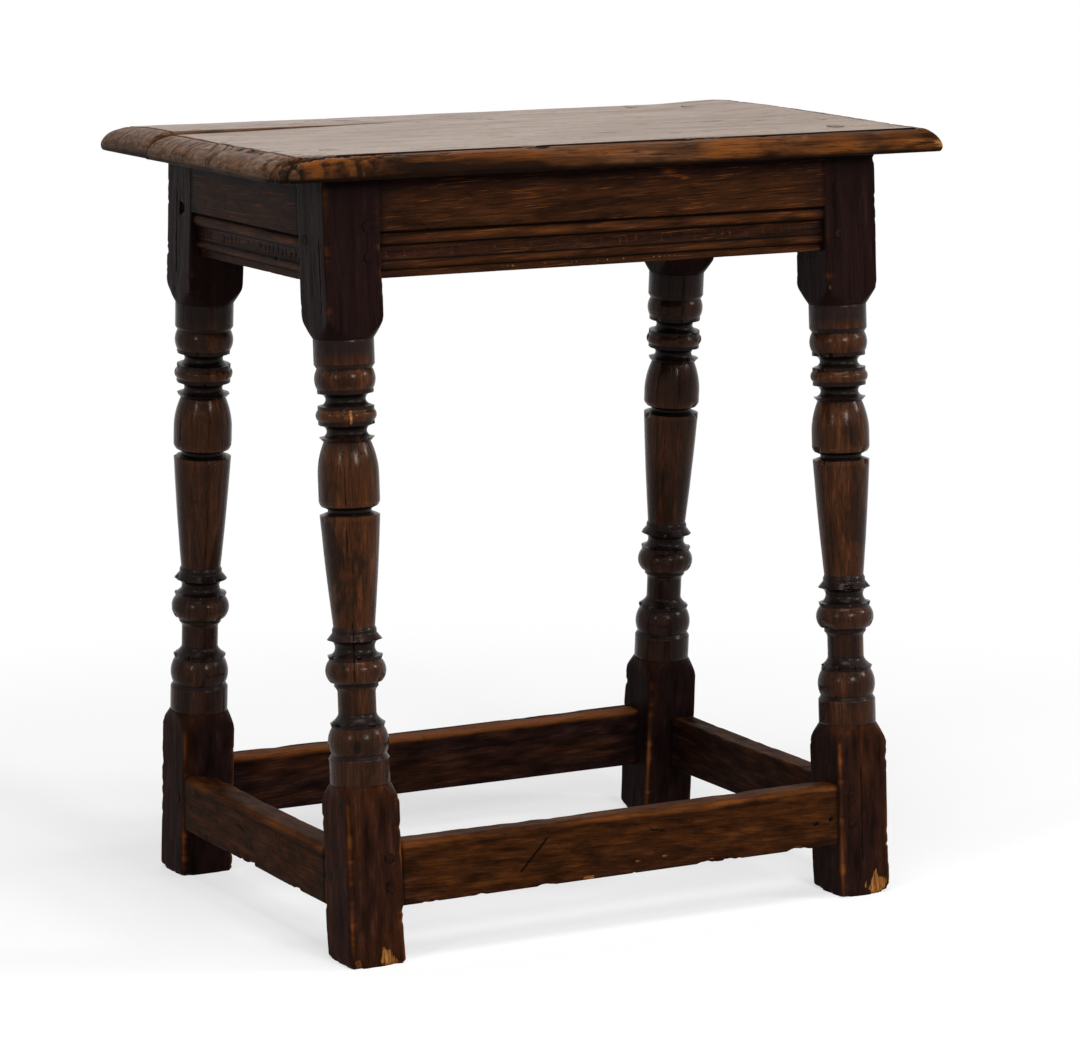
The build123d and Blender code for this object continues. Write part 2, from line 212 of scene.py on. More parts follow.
def make_mesh(name, points, faces, layers):
    """Mesh in metres with its attributes, faces turned outwards and true corners kept sharp."""
    mesh = bpy.data.meshes.new(name)
    mesh.from_pydata((points * MM).tolist(), [], faces)
    for layer, values in layers.items():
        kind = "FLOAT_VECTOR" if values.ndim == 2 else "FLOAT"
        field = "vector" if values.ndim == 2 else "value"
        attribute = mesh.attributes.new(layer, kind, "POINT")
        attribute.data.foreach_set(field, values.astype(np.float32).ravel())
    shape = bmesh.new()
    shape.from_mesh(mesh)
    if shape.calc_volume(signed=True) < 0:
        bmesh.ops.reverse_faces(shape, faces=shape.faces)
    shape.to_mesh(mesh)
    shape.free()
    mesh.polygons.foreach_set("use_smooth", [True] * len(mesh.polygons))
    mesh.set_sharp_from_angle(angle=radians(55))
    return mesh


def surface(points, grain, wear, dirt, shade, bare, matte):
    """Grid of points with its layers, one value to a point; all but grain may be a single number."""
    layers = {"wear": wear, "dirt": dirt, "shade": shade, "bare": bare, "matte": matte}
    flat = {layer: np.broadcast_to(values, points.shape[:2]).ravel() for layer, values in layers.items()}
    return points, {"grain": grain.reshape(-1, 3), **flat}


def skin(name, surfaces):
    """One mesh from several surfaces, each closed to a capped tube."""
    faces = []
    first = 0
    for points, _ in surfaces:
        rows, columns = points.shape[:2]
        faces += grid_faces(rows, columns, first, closed=True)
        first += rows * columns
    all_points = np.concatenate([points.reshape(-1, 3) for points, _ in surfaces])
    joined = {layer: np.concatenate([layers[layer] for _, layers in surfaces]) for layer in surfaces[0][1]}
    return make_mesh(name, all_points, faces, joined)


def show(name, mesh, material, node):
    """Puts a finished mesh in the scene as the piece that stands for a CAD node."""
    mesh.materials.append(material)
    thing = bpy.data.objects.new(name, mesh)
    bpy.context.scene.collection.objects.link(thing)
    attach(thing, "root")
    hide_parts(node)


# --- materials --------------------------------------------------------------------------------

def rgb(red, green, blue):
    """Linear colour from display values of 0 to 255."""
    def linear(value):
        share = value / 255
        return share / 12.92 if share <= 0.04045 else ((share + 0.055) / 1.055) ** 2.4
    return (linear(red), linear(green), linear(blue), 1.0)


class Shader:
    """A material under construction, with a short way to add each kind of node it needs."""

    def __init__(self, tree):
        self.tree = tree
        tree.nodes.clear()

    def node(self, kind, inputs=(), **settings):
        made = self.tree.nodes.new(kind)
        for setting, value in settings.items():
            setattr(made, setting, value)
        for socket, value in dict(inputs).items():
            if isinstance(value, bpy.types.NodeSocket):
                self.tree.links.new(value, made.inputs[socket])
            else:
                made.inputs[socket].default_value = value
        return made

    def attribute(self, name, output="Fac"):
        return self.node("ShaderNodeAttribute", attribute_name=name).outputs[output]

    def math(self, operation, a, b=0.0, c=0.0, clamp=False):
        made = self.node("ShaderNodeMath", {0: a, 1: b, 2: c}, operation=operation, use_clamp=clamp)
        return made.outputs[0]

    def times(self, a, b, clamp=False):
        return self.math("MULTIPLY", a, b, clamp=clamp)

    def greater(self, a, b, clamp=False):
        return self.math("MAXIMUM", a, b, clamp=clamp)

    def total(self, *terms, plus=0.0, clamp=False):
        """Sum of (value, weight) terms and of what is added to them."""
        result = plus
        for value, weight in terms[:-1]:
            result = self.math("MULTIPLY_ADD", value, weight, result)
        return self.math("MULTIPLY_ADD", *terms[-1], result, clamp)

    def noise(self, grain, along, across, detail=3.0, distortion=0.0):
        """Noise with so many cells to a millimetre along the grain and across it."""
        scale = {0: grain, 1: (along, across, across)}
        inputs = {
            "Vector": self.node("ShaderNodeVectorMath", scale, operation="MULTIPLY").outputs[0],
            "Scale": 1.0,
            "Detail": detail,
            "Roughness": 0.55,
            "Distortion": distortion,
        }
        return self.node("ShaderNodeTexNoise", inputs).outputs["Fac"]

    def ranged(self, value, low, high):
        """0 below low, 1 above high and a smooth rise between."""
        inputs = {"Value": value, "From Min": low, "From Max": high}
        return self.node("ShaderNodeMapRange", inputs, interpolation_type="SMOOTHSTEP").outputs["Result"]

    def mix(self, share, a, b):
        return self.node("ShaderNodeMix", {0: share, 6: a, 7: b}, data_type="RGBA").outputs[2]

    def toned(self, palette, lightness, turning_point):
        """Colour that runs from dark to middle and, above the turning point, on to pale."""
        dark, middle, pale = palette
        lower = self.mix(self.ranged(lightness, 0.0, turning_point), dark, middle)
        return self.mix(self.ranged(lightness, turning_point, 1.0), lower, pale)


def new_material(name):
    material = bpy.data.materials.new(name)
    material.use_nodes = True
    return material, Shader(material.node_tree)


# Palettes: the dark, the middle and the pale tone of the wood
warm = rgb(33, 16, 6), rgb(64, 33, 13), rgb(102, 57, 25)
brown = rgb(30, 16, 8), rgb(56, 31, 16), rgb(78, 45, 23)
russet = rgb(34, 16, 6), rgb(56, 29, 11), rgb(80, 44, 18)
# The dark palette that the shade layer leads to on the frame: soot and painted shade
soot_and_shade = rgb(14, 8, 8), rgb(31, 18, 17), rgb(50, 32, 30)
seat_brown = rgb(36, 20, 10), rgb(78, 44, 18), rgb(114, 66, 27)
# Pale palette of the seat top and left end: their own colour with a painted sheen added
seat_pale_and_sheen = rgb(96, 73, 57), rgb(130, 106, 86), rgb(150, 126, 104)
grime = rgb(11, 7, 5)
worn_oak = rgb(124, 70, 32)
golden_oak = rgb(120, 66, 23)
raw_oak = rgb(120, 72, 34)
bare_oak = rgb(176, 118, 60)
waxed_tint = (1.0, 0.87, 0.78, 1.0)     # old wax gives reflections a little of its own amber
middle_lightness = 0.61                 # of the patterns in the wood
lightness_spread = 0.25
bump_strength = 0.8
bump_metres = 0.0007                    # height of a pattern at full strength


def oak(name, palette=warm, shaded=soot_and_shade, worn=worn_oak, fleck_amount=0.0, lumps=0.05, gloss=0.19,
        dulling=0.3, specular=0.014, soot=0.75, fibre_depth=0.1, contrast=1.0, lines=0.5):
    """Old waxed oak: figure, fibre, soot and ray flecks, then wear, grime, pores and bare wood."""
    material, s = new_material(name)
    grain = s.attribute("grain", "Vector")
    wear, dirt, shade, bare, matte = map(s.attribute, ("wear", "dirt", "shade", "bare", "matte"))

    # Patterns: cells to a millimetre along the grain and across it, then detail and distortion
    figure = s.noise(grain, 0.011, 0.15, 4, 0.8)
    fibre = s.noise(grain, 0.05, 1.1, 3, 0.3)
    patches = s.noise(grain, 0.018, 0.042, 3, 0.8)
    blotches = s.noise(grain, 0.035, 0.15)
    lumpy = s.noise(grain, 0.35, 0.6)
    pores = s.ranged(s.noise(grain, 0.2, 2.6, 1), 0.58, 0.72)
    checks = s.ranged(s.noise(grain, 0.034, 0.5, 2, 0.5), 0.60, 0.68)
    hairlines = s.ranged(s.noise(grain, 0.03, 1.5, 2, 0.4), 0.57, 0.65)
    flecks = s.ranged(s.noise(grain, 0.024, 1.5, 0.7, 0.7), 0.63, 0.70)

    # Polished wood is streaked and matt wood is mottled; shade leads to the duller palette, which is painted
    # shade and soot on the frame and the pale top, partly painted sheen, on the seat
    streaks = s.total((figure, 0.75), (fibre, 0.45))
    mottled = s.total((blotches, 0.95), (fibre, 0.25))
    pattern = s.total((s.math("SUBTRACT", mottled, streaks), matte), plus=streaks)
    spread = lightness_spread / contrast
    lightness = s.ranged(pattern, middle_lightness - spread, middle_lightness + spread)
    clean = s.toned(palette, lightness, 0.5)
    dull = s.toned(shaded, lightness, 0.6)
    colour = s.mix(s.times(shade, 1.0, clamp=True), clean, dull)
    fleck_places = s.times(s.ranged(blotches, 0.38, 0.58), fleck_amount)
    colour = s.mix(s.times(flecks, fleck_places), colour, worn)

    # Soot lies in patches and fine checks, least where the wood is matt or shaded
    polished = s.times(s.total((matte, -0.7), plus=1.0), s.total((shade, -0.85), plus=1.0, clamp=True))
    sooted = s.times(s.greater(s.ranged(patches, 0.53, 0.62), checks), soot)
    colour = s.mix(s.times(sooted, polished), colour, grime)

    # Worn wood, then bare wood, then grime over all
    worn_through = s.total((blotches, 0.9), (fibre, 0.7), plus=-0.8)
    wear_share = s.times(s.total((wear, 1.5), plus=worn_through), wear, clamp=True)
    colour = s.mix(wear_share, colour, worn)
    raw = s.mix(s.ranged(fibre, 0.40, 0.66), raw_oak, bare_oak)
    bare_share = s.ranged(s.total((fibre, 0.5), (blotches, 0.8), (bare, 1.0), plus=-0.65), 0.35, 0.75)
    colour = s.mix(s.times(bare_share, s.ranged(bare, 0.0, 0.15)), colour, raw)
    grimy = s.total((dirt, 1.35), (blotches, 0.6), plus=-0.35)
    fine_lines = s.greater(s.times(pores, 0.45), s.times(hairlines, lines))
    grime_share = s.greater(fine_lines, grimy, clamp=True)
    colour = s.mix(s.times(grime_share, 0.94), colour, grime)

    rough = s.total((patches, 0.16), (fibre, 0.12), (matte, dulling), (s.greater(dirt, bare_share), 0.18),
                    plus=gloss - 0.14, clamp=True)

    # Polish has filled the grain of the turned parts; elsewhere the fibre stands up
    raised = s.times(fibre, s.total((matte, 0.35), plus=fibre_depth))
    height = s.total((lumpy, lumps), (pores, -0.08), (checks, -0.15), plus=raised)
    bump = s.node("ShaderNodeBump", {"Strength": bump_strength, "Distance": bump_metres, "Height": height})
    wood = s.node("ShaderNodeBsdfPrincipled", {
        "Base Color": colour,
        "Roughness": rough,
        "Specular IOR Level": specular,
        "Specular Tint": waxed_tint,
        "Normal": bump.outputs["Normal"],
    })
    s.node("ShaderNodeOutputMaterial", {"Surface": wood.outputs["BSDF"]})
    return material


turned_oak = oak("turned_oak", gloss=0.17, specular=0.09, soot=0.7, fibre_depth=0.02, contrast=0.85,
                 lines=0.45)
block_oak = oak("block_oak", gloss=0.24, soot=0.45, contrast=0.7, lines=0.35)
rail_oak = oak("rail_oak", brown, fleck_amount=0.75, gloss=0.28, soot=0.5, fibre_depth=0.15)
stretcher_oak = oak("stretcher_oak", russet, fleck_amount=0.2, gloss=0.3, contrast=1.2)
seat_look = dict(palette=seat_brown, shaded=seat_pale_and_sheen, worn=golden_oak, fleck_amount=0.1, gloss=0.3,
                 dulling=0.04, specular=0.07, soot=0.7, lumps=0.15, fibre_depth=0.12, contrast=0.9,
                 lines=0.4)
seat_oak = oak("seat_oak_worn", **seat_look)
moulding_oak = oak("seat_oak_moulding", **{**seat_look, "specular": 0.02, "contrast": 1.2, "lines": 0.8})
seat_peg_oak = oak("peg_oak_seat", **seat_look)
peg_oak = oak("peg_oak_cleft", brown, lumps=0.6, fibre_depth=0.2)


# --- legs -------------------------------------------------------------------------------------

row_spacing = 0.85          # between the points up a turned member
block_row_spacing = 2.2
columns_per_face = 33
blank_radius = 40.0         # stands for no limit: outside every corner of a leg
widest_turning = 25.0       # no turned member stands this far from the axis
arris_cosine = 0.7071       # of the 45 degrees from a face to an arris


def leg_members(column):
    """Turned members from the lower block up: height, radius at the top, radius half way up."""
    vase_body_height = shaft_height - column - groove_height - vase_foot_height - vase_taper_height
    groove_wall = groove_height / 3
    return [
        (shoulder_height, collar_radius, None),
        (collar_height, collar_radius, None),
        (quirk_height, quirk_radius, None),
        (lower_bead_height, ring_root_radius, bead_radius),
        (ring_height, ring_radius, None),
        (flare_height, neck_radius, (2 * neck_radius + ring_root_radius) / 3),
        (neck_height, neck_radius, None),
        (neck_step_height / 2, neck_step_radius, (2 * neck_radius + neck_step_radius) / 3),
        (neck_step_height / 2, neck_step_radius, None),
        (0, ring_root_radius, None),
        (middle_bead_height, ring_root_radius, bead_radius),
        (ring_height, ring_radius, None),
        (waist_cove_height, ring_radius, cove_radius),
        (waist_slope_height, waist_fillet_radius, None),
        (waist_fillet_height / 2, waist_fillet_radius, None),
        (waist_fillet_height / 2, waist_radius, None),
        (column, column_radius, (waist_radius + column_radius) / 2 + column_swell),
        (groove_wall, groove_radius, None),
        (groove_wall, groove_radius, None),
        (groove_wall, fillet_radius, None),
        (vase_foot_height, vase_radius, (2 * vase_radius + fillet_radius) / 3),
        (vase_body_height, vase_radius, None),
        (vase_taper_height, vase_neck_radius, (3 * vase_radius + vase_neck_radius) / 4),
        (ring_height, ring_radius, None),
        (cove_height, fillet_radius, cove_radius),
        (fillet_height, fillet_radius, None),
        (torus_height, fillet_radius, torus_radius),
        (fillet_height, fillet_radius, None),
        (cove_height, fillet_radius, cove_radius),
        (fillet_height, fillet_radius, None),
        (upper_bead_height, quirk_radius, bead_radius),
        (quirk_height, collar_radius, None),
        (collar_height, collar_radius, None),
        (shoulder_height, upper_block_width / 2**0.5, None),
    ]


def arc_bulge(share, height, rise):
    """How far a round member stands off its chord, at a share of its height."""
    half = height / 2
    across = (2 * share - 1) * half
    if abs(rise) >= half:
        return rise * np.sqrt(np.clip(1 - (across / half) ** 2, 0, 1))
    radius = (half * half + rise * rise) / (2 * abs(rise))
    return np.sign(rise) * (np.sqrt(radius * radius - across * across) - radius + abs(rise))


def turned_rows(column):
    """Height, turned radius and blackness (0 or 1) of the rows of points up a leg."""
    foot_rows = np.array([0, 0.4, 0.9, 1.6, 2.6, 4.0])
    block_rows = np.arange(foot_rows[-1] + block_row_spacing, lower_block_height, block_row_spacing)
    heights = [foot_rows, block_rows, [lower_block_height]]
    radius = lower_block_width / 2**0.5
    radii = [np.full(len(foot_rows) + len(block_rows), blank_radius), [radius]]
    blackness = [np.zeros(len(foot_rows) + len(block_rows) + 1)]
    height = lower_block_height
    for member_height, top_radius, middle_radius in leg_members(column):
        chord = top_radius - radius
        rise = 0.0 if middle_radius is None else middle_radius - (radius + top_radius) / 2
        count = max(3, ceil(hypot(member_height, abs(chord) + 2 * abs(rise)) / row_spacing))
        even = np.arange(1, count + 1) / count
        share = (1 - np.cos(pi * even)) / 2 if rise else even
        bulge = arc_bulge(share, member_height, rise) if rise else 0.0
        # Narrow flat members and hollows never get rubbed and stay black with old polish
        narrow = middle_radius is None and member_height < 4.6
        heights.append(height + member_height * share)
        radii.append(radius + chord * share + bulge)
        blackness.append(np.full(count, 1.0 if narrow or rise < -1 else 0.0))
        height += member_height
        radius = top_radius
    top_rows = np.linspace(height, leg_length, ceil(upper_block_height / block_row_spacing) + 1)[1:]
    heights.append(top_rows)
    radii.append(np.full(len(top_rows), blank_radius))
    blackness.append(np.zeros(len(top_rows)))
    return np.concatenate(heights), np.concatenate(radii), np.concatenate(blackness)


def square_reach(angles, half, arris):
    """Distance from the axis to the side of a square block with rounded arrises."""
    large = np.maximum(abs(np.cos(angles)), abs(np.sin(angles)))
    small = np.minimum(abs(np.cos(angles)), abs(np.sin(angles)))
    centre = half - arris
    along = centre * (large + small)
    round_reach = along + np.sqrt(np.clip(along**2 - 2 * centre**2 + arris**2, 0, None))
    return np.where(small * half > large * centre, round_reach, half / large)


def blurred(values, places, width):
    """Average of values over their neighbours within about a width, for uneven places."""
    weight = np.exp(-(((places[:, None] - places[None, :]) / width) ** 2))
    spacing = np.gradient(places) + 1e-6
    return (weight * spacing) @ values / (weight * spacing).sum(1)


def column_angles(cracks):
    """Angles of the columns of points: even on the faces, closer at the arrises and cracks."""
    even = (np.arange(columns_per_face) + 0.5) / columns_per_face * 2 - 1
    offsets = even * (1.28 - 0.28 * even**2)
    face = np.degrees(np.arctan(offsets))
    angles = [face + 90 * quarter for quarter in range(4)]
    for crack in cracks:
        angles.append(crack["angle"] % 360 + np.array([-2.4, -1.2, -0.5, 0.0, 0.5, 1.2, 2.4]))
    return np.radians(np.sort(np.concatenate(angles)))


def turn(angle, other):
    """Signed difference between two angles in degrees, from -180 to 180."""
    return (angle - other + 180) % 360 - 180


def make_leg(name, end, side, look):
    """Leg as one polar grid: the turning inside the squared blank, then its wear and damage."""
    seed = look["seed"]
    rows, turned, blackness = turned_rows(look["column"])
    black = blackness[:, None]
    angles = column_angles(look["cracks"])
    height = rows[:, None] + 0 * angles[None, :]
    angle = angles[None, :] + 0 * rows[:, None]
    for crack in look["cracks"]:
        drift = radians(crack.get("drift", 3.0)) * noise(seed + 41, rows / 22, crack["angle"])
        near = hump(turn(np.degrees(angle), crack["angle"]), 22)
        angle = angle + drift[:, None] * near
    degrees = np.degrees(angle)
    cosine, sine = np.cos(angle), np.sin(angle)

    def around(number, cells, length, kind=noise):
        """Noise on the leg: cells to a radius round it, and the length of a cell up it."""
        return kind(seed + number, cosine * cells, sine * cells, height / length)

    # Squared parts, their arrises worn and nibbled
    in_lower = rows <= lower_block_height + shoulder_height
    in_upper = rows >= leg_length - upper_block_height - shoulder_height
    upper_half = np.where(in_upper, upper_block_width / 2, blank_radius)
    half = np.where(in_lower, lower_block_width / 2, upper_half)
    corner_x, corner_y = np.sign(cosine), np.sign(sine)
    arris_wear = noise(seed, corner_x * 9, corner_y * 5, height / 21)
    nibbles = np.clip(fractal(seed + 3, corner_x * 7, corner_y * 3, height / 5) - 0.35, 0, 1)
    arris = np.where(in_lower, look["lower_arris"], look["upper_arris"])[:, None]
    arris = np.clip(arris * (1 + 0.35 * arris_wear) + 3.0 * nibbles, 0.8, 7)
    block = square_reach(angle, half[:, None], arris) + 0.22 * around(5, 4.5, 34) - 0.10

    # Turned parts, a little out of round and chipped where they stand proud of their neighbours
    is_turned = (turned < widest_turning)[:, None]
    proud = (turned - blurred(np.minimum(turned, 30), rows, 5.0))[:, None]
    out_of_round = 1 + 0.008 * np.cos(2 * (angle - seed)) + 0.003 * around(6, 1, 9)
    notches = np.clip(around(7, 3.2, 11, fractal) - 0.30, 0, 1)
    chips = ramp(proud, 0.4, 1.1) * is_turned * notches * look["chipping"]
    barrel = turned[:, None] * out_of_round - chips

    # Fibre and dents, which the turner's polish kept from most of the turning
    reach = smallest(barrel, block, 1.4)
    squared = ramp(barrel - block, -0.5, 1.0)
    dents = np.clip(around(9, 5, 6) - 0.55, 0, 1)
    reach = reach - (0.012 + 0.07 * squared) * around(8, 14, 26) - (0.25 + 0.45 * squared) * dents

    # The foot is worn and splintered, most of all at its corners
    splinters = np.clip(around(10, 3, 6, fractal) + 0.1, 0, 1)
    foot_wear = ramp(height, 2.8, 0) * 1.3 + ramp(height, 7, 0) * splinters * 2.2
    corner_share = ramp(np.minimum(abs(cosine), abs(sine)), 0.35, 0.68)
    reach = reach - foot_wear * (0.5 + 1.6 * corner_share * look["foot_chipping"])

    # Dirt in the hollows, wear on what stands proud and on the arrises, most of it low down, with painted
    # shade under the seat and a painted glint on one leg's upper arrises
    dirt = ramp(-proud, 0.3, 1.8) * is_turned * 0.95
    dirt = np.maximum(dirt, black * (0.4 + 0.35 * around(17, 2.5, 4)))
    is_block = ramp(barrel - block, -1.0, 2.0)
    # Painted shade: the top of each block is darkened just under the seat
    dirt = dirt + 0.35 * is_block * ramp(height, leg_length - 22, leg_length - 4)
    off_arris = np.maximum(abs(cosine), abs(sine)) - arris_cosine
    lowness = ramp(height, 200, 60)
    # The rubbed upper arrises of the front left leg are lighter still: a painted glint
    rub_and_glint = look["upper_rub_and_glint"] * (1 - lowness) + 0.74 * lowness
    rub_and_glint = rub_and_glint * (0.6 + 0.5 * noise(seed + 16, corner_x * 3, corner_y * 3, height / 26))
    wear = ramp(proud, 0.2, 1.0) * 0.26 * (1 - black) * is_turned
    wear = wear + is_block * (rub_and_glint * hump(off_arris, 0.045) + 0.4 * nibbles * hump(off_arris, 0.1))
    bare = 0.0

    for crack in look["cracks"]:
        low, high = crack["span"]
        inside = ramp(height, low, low + 4) * ramp(height, high, high - 4)
        off = turn(degrees, crack["angle"])
        line = hump(off * pi / 180 * np.clip(reach, 12, 24), crack.get("width", 0.55)) * inside
        ragged = 0.65 + 0.35 * noise(seed + 12, height / 7)
        reach = reach - crack["depth"] * line * ragged
        dirt = np.maximum(dirt, line * crack.get("black", 1.0))

    for patch in look["patches"]:
        off_across = turn(degrees, patch["angle"]) / patch["spread"][0]
        off_up = (height - patch["height"]) / patch["spread"][1]
        ragged = 0.45 * around(14, 6, 7, fractal)
        blot = ramp(1.15 + ragged - np.hypot(off_across, off_up), 0, 0.6)
        reach = reach - patch["depth"] * blot
        if patch["kind"] == "bare":
            bare = np.maximum(bare, blot * patch["strength"])
            dirt = dirt * (1 - 0.8 * blot)
        else:
            dirt = np.maximum(dirt, blot)

    # Both ends are cut level, and the leg leans with its frame
    at_ends = ramp(height, 40, 0) + ramp(height, leg_length - 40, leg_length)
    local_x, local_y = reach * cosine, reach * sine
    up = height - side * tan(rake) * local_y * at_ends
    points = np.stack([
        end * leg_x + local_x,
        side * foot_y + local_y * cos(rake) - side * up * sin(rake),
        up * cos(rake) + side * local_y * sin(rake),
    ], -1)
    grain = np.stack([up + 700 * seed, local_x + 90 * seed, local_y], -1)
    shade = look["shade"] + 1.1 * ramp(height, leg_length - 132, leg_length - 112) + 0.7 * black
    shade = shade + 0.25 * around(15, 1.3, 45)
    # The feet are scuffed dull by shoes and brooms, the turning is polished and the top between
    matte = ramp(height, lower_block_height + 14, lower_block_height)
    # Lower blocks darker: partly their own dark colour, partly painted shade that differs from leg to leg;
    # the lower turning darker towards the bottom
    shade = shade + look["low_dark_and_painted_shade"] * matte + 0.4 * ramp(height, 255, 190) * (1 - matte)
    matte = matte + 0.2 * ramp(height, leg_length - 125, leg_length - 108)
    mesh = skin(name, [surface(points, grain, wear, dirt, shade, bare, matte)])
    show(name, mesh, turned_oak, name.replace("turned_", ""))
    # The squared parts, and the two ends that close the mesh, are duller than the turning
    mesh.materials.append(block_oak)
    squared_rows = (in_lower | in_upper)[:-1] & (in_lower | in_upper)[1:]
    squared_faces = np.append(np.repeat(squared_rows, len(angles)), [True, True])
    mesh.polygons.foreach_set("material_index", squared_faces.astype(np.int32))


leg_looks = {
    ("front", "left"): {
        "seed": 11, "column": 77.5, "shade": 0.05, "chipping": 4.0, "foot_chipping": 0.7,
        "upper_arris": 1.8, "lower_arris": 3.4, "low_dark_and_painted_shade": 0.55, "upper_rub_and_glint": 0.28,
        "cracks": [
            {"angle": 241, "span": (196, 241), "depth": 1.2, "width": 0.42},
            {"angle": 237, "span": (318, 342), "depth": 0.9, "drift": 5},
            {"angle": 236, "span": (286, 306), "depth": 0.8},
            {"angle": 209, "span": (449, 506), "depth": 0.8, "width": 0.4, "black": 0.8},
        ],
        "patches": [
            {"kind": "bare", "angle": 253, "height": 381, "spread": (4, 5), "depth": -0.5, "strength": 0.75},
            {"kind": "dark", "angle": 241, "height": 154, "spread": (7, 4), "depth": 0.5},
            {"kind": "bare", "angle": 286, "height": 3, "spread": (27, 9), "depth": 0.7, "strength": 0.66},
            {"kind": "bare", "angle": 232, "height": 3, "spread": (6, 5), "depth": 0.5, "strength": 0.5},
        ],
    },
    ("front", "right"): {
        "seed": 23, "column": 85.0, "shade": 0.22, "chipping": 4.5, "foot_chipping": 1.0,
        "upper_arris": 1.9, "lower_arris": 2.8, "low_dark_and_painted_shade": 0.6, "upper_rub_and_glint": 0.12,
        "cracks": [
            {"angle": 258, "span": (330, 352), "depth": 0.7},
            {"angle": 263, "span": (24, 96), "depth": 0.8, "width": 0.4},
        ],
        "patches": [
            {"kind": "bare", "angle": 292, "height": 6, "spread": (20, 12), "depth": 1.2, "strength": 0.75},
            {"kind": "bare", "angle": 228, "height": 448, "spread": (2, 2.5), "depth": 0.4, "strength": 0.6},
        ],
    },
    ("back", "left"): {
        "seed": 37, "column": 83.5, "shade": 0.3, "chipping": 4.0, "foot_chipping": 0.6,
        "upper_arris": 1.7, "lower_arris": 2.6, "low_dark_and_painted_shade": 0.65, "upper_rub_and_glint": 0.12,
        "cracks": [
            {"angle": 196, "span": (330, 350), "depth": 0.7},
            {"angle": 172, "span": (455, 520), "depth": 0.6, "width": 0.4},
        ],
        # One peg of this leg has sunk into its hole
        "patches": [{"kind": "dark", "angle": 192.3, "height": 504.8, "spread": (8.5, 3.2), "depth": 2.2}],
    },
    ("back", "right"): {
        "seed": 53, "column": 87.5, "shade": 0.42, "chipping": 3.5, "foot_chipping": 0.8,
        "upper_arris": 1.8, "lower_arris": 2.6, "low_dark_and_painted_shade": 0.6, "upper_rub_and_glint": 0.12,
        "cracks": [{"angle": 30, "span": (120, 170), "depth": 0.9}],
        "patches": [],
    },
}

for (side_name, end_name), look in leg_looks.items():
    make_leg(f"turned_leg_{side_name}_{end_name}", ends[end_name], sides[side_name], look)


# --- rails ------------------------------------------------------------------------------------

# Moulding of the rails, from the bottom up: depths are below the flat of the rail
foot_fillet_height, foot_fillet_depth = 5.5, 8.0
ovolo_height, ovolo_foot_depth, ovolo_depth = 6.5, 6.6, 4.5
hollow_height, hollow_depth, hollow_edge_depth = 10.5, 6.0, 5.0
astragal_height, astragal_depth, astragal_edge_depth = 8.5, 1.6, 3.2
vee_height, vee_depth = 1.6, 3.4
section_step = 0.85
mark_spacing = 7.0          # of the punch marks in the hollow
rail_matte = 0.25

ovolo_bottom = foot_fillet_height
hollow_bottom = ovolo_bottom + ovolo_height
astragal_bottom = hollow_bottom + hollow_height
vee_bottom = astragal_bottom + astragal_height
flat_bottom = vee_bottom + vee_height
hollow_middle = hollow_bottom + hollow_height / 2


def straight(start, stop, step=section_step):
    """Points from start to stop, the start left out."""
    start, stop = np.array(start, float), np.array(stop, float)
    count = max(1, ceil(np.linalg.norm(stop - start) / step))
    return [start + (stop - start) * n / count for n in range(1, count + 1)]


def rounded(start, stop, middle_depth, step=section_step):
    """Points up a round member between two (depth, height) points, the start left out."""
    rise = middle_depth - (start[0] + stop[0]) / 2
    height = stop[1] - start[1]
    count = max(4, ceil(hypot(height, 2 * rise) / step))
    share = (1 - np.cos(pi * np.arange(1, count + 1) / count)) / 2
    depth = start[0] + (stop[0] - start[0]) * share + arc_bulge(share, height, rise)
    return list(np.stack([depth, start[1] + height * share], -1))


def rail_section(height):
    """Loop of (depth below the flat, height above the bottom) points round a rail."""
    back = rail_thickness
    loop = straight((back, 0), (foot_fillet_depth, 0), 3)
    loop += straight((foot_fillet_depth, 0), (foot_fillet_depth, ovolo_bottom))
    loop += straight((foot_fillet_depth, ovolo_bottom), (ovolo_foot_depth, ovolo_bottom))
    loop += rounded((ovolo_foot_depth, ovolo_bottom), (hollow_edge_depth, hollow_bottom), ovolo_depth)
    loop += rounded((hollow_edge_depth, hollow_bottom), (hollow_edge_depth, astragal_bottom), hollow_depth)
    loop += straight((hollow_edge_depth, astragal_bottom), (astragal_edge_depth, astragal_bottom))
    loop += rounded((astragal_edge_depth, astragal_bottom), (vee_depth, vee_bottom), astragal_depth)
    loop += straight((vee_depth, vee_bottom), (0, flat_bottom), 0.6)
    loop += straight((0, flat_bottom), (0, height), 1.1)
    loop += straight((0, height), (back, height), 5)
    loop += straight((back, height), (back, 0), 5)
    return np.array(loop)


def punch_marks(seed, along, up):
    """Small crescents and ticks struck in the hollow by hand: 1 in a mark and 0 outside."""
    place = along / mark_spacing + 0.16 * noise(seed, along / mark_spacing)
    number = np.floor(place)
    offset = (place - number - 0.5) * mark_spacing
    kind = lattice(seed + 1, number)
    drop = up - (hollow_middle + 1.1 * lattice(seed + 2, number))
    upper_or_right = np.where(lattice(seed + 3, number) > 0, ramp(drop, -0.9, 0.6), ramp(offset, -0.7, 0.7))
    crescent = hump(np.hypot(offset, drop) - 1.9, 0.55) * upper_or_right
    tick = hump(offset, 0.6) * ramp(abs(drop), 3.2, 2.2)
    mark = np.where(kind > 0.1, crescent, tick)
    return mark * (kind > -0.75) * (0.45 + 0.55 * abs(lattice(seed + 4, number)))


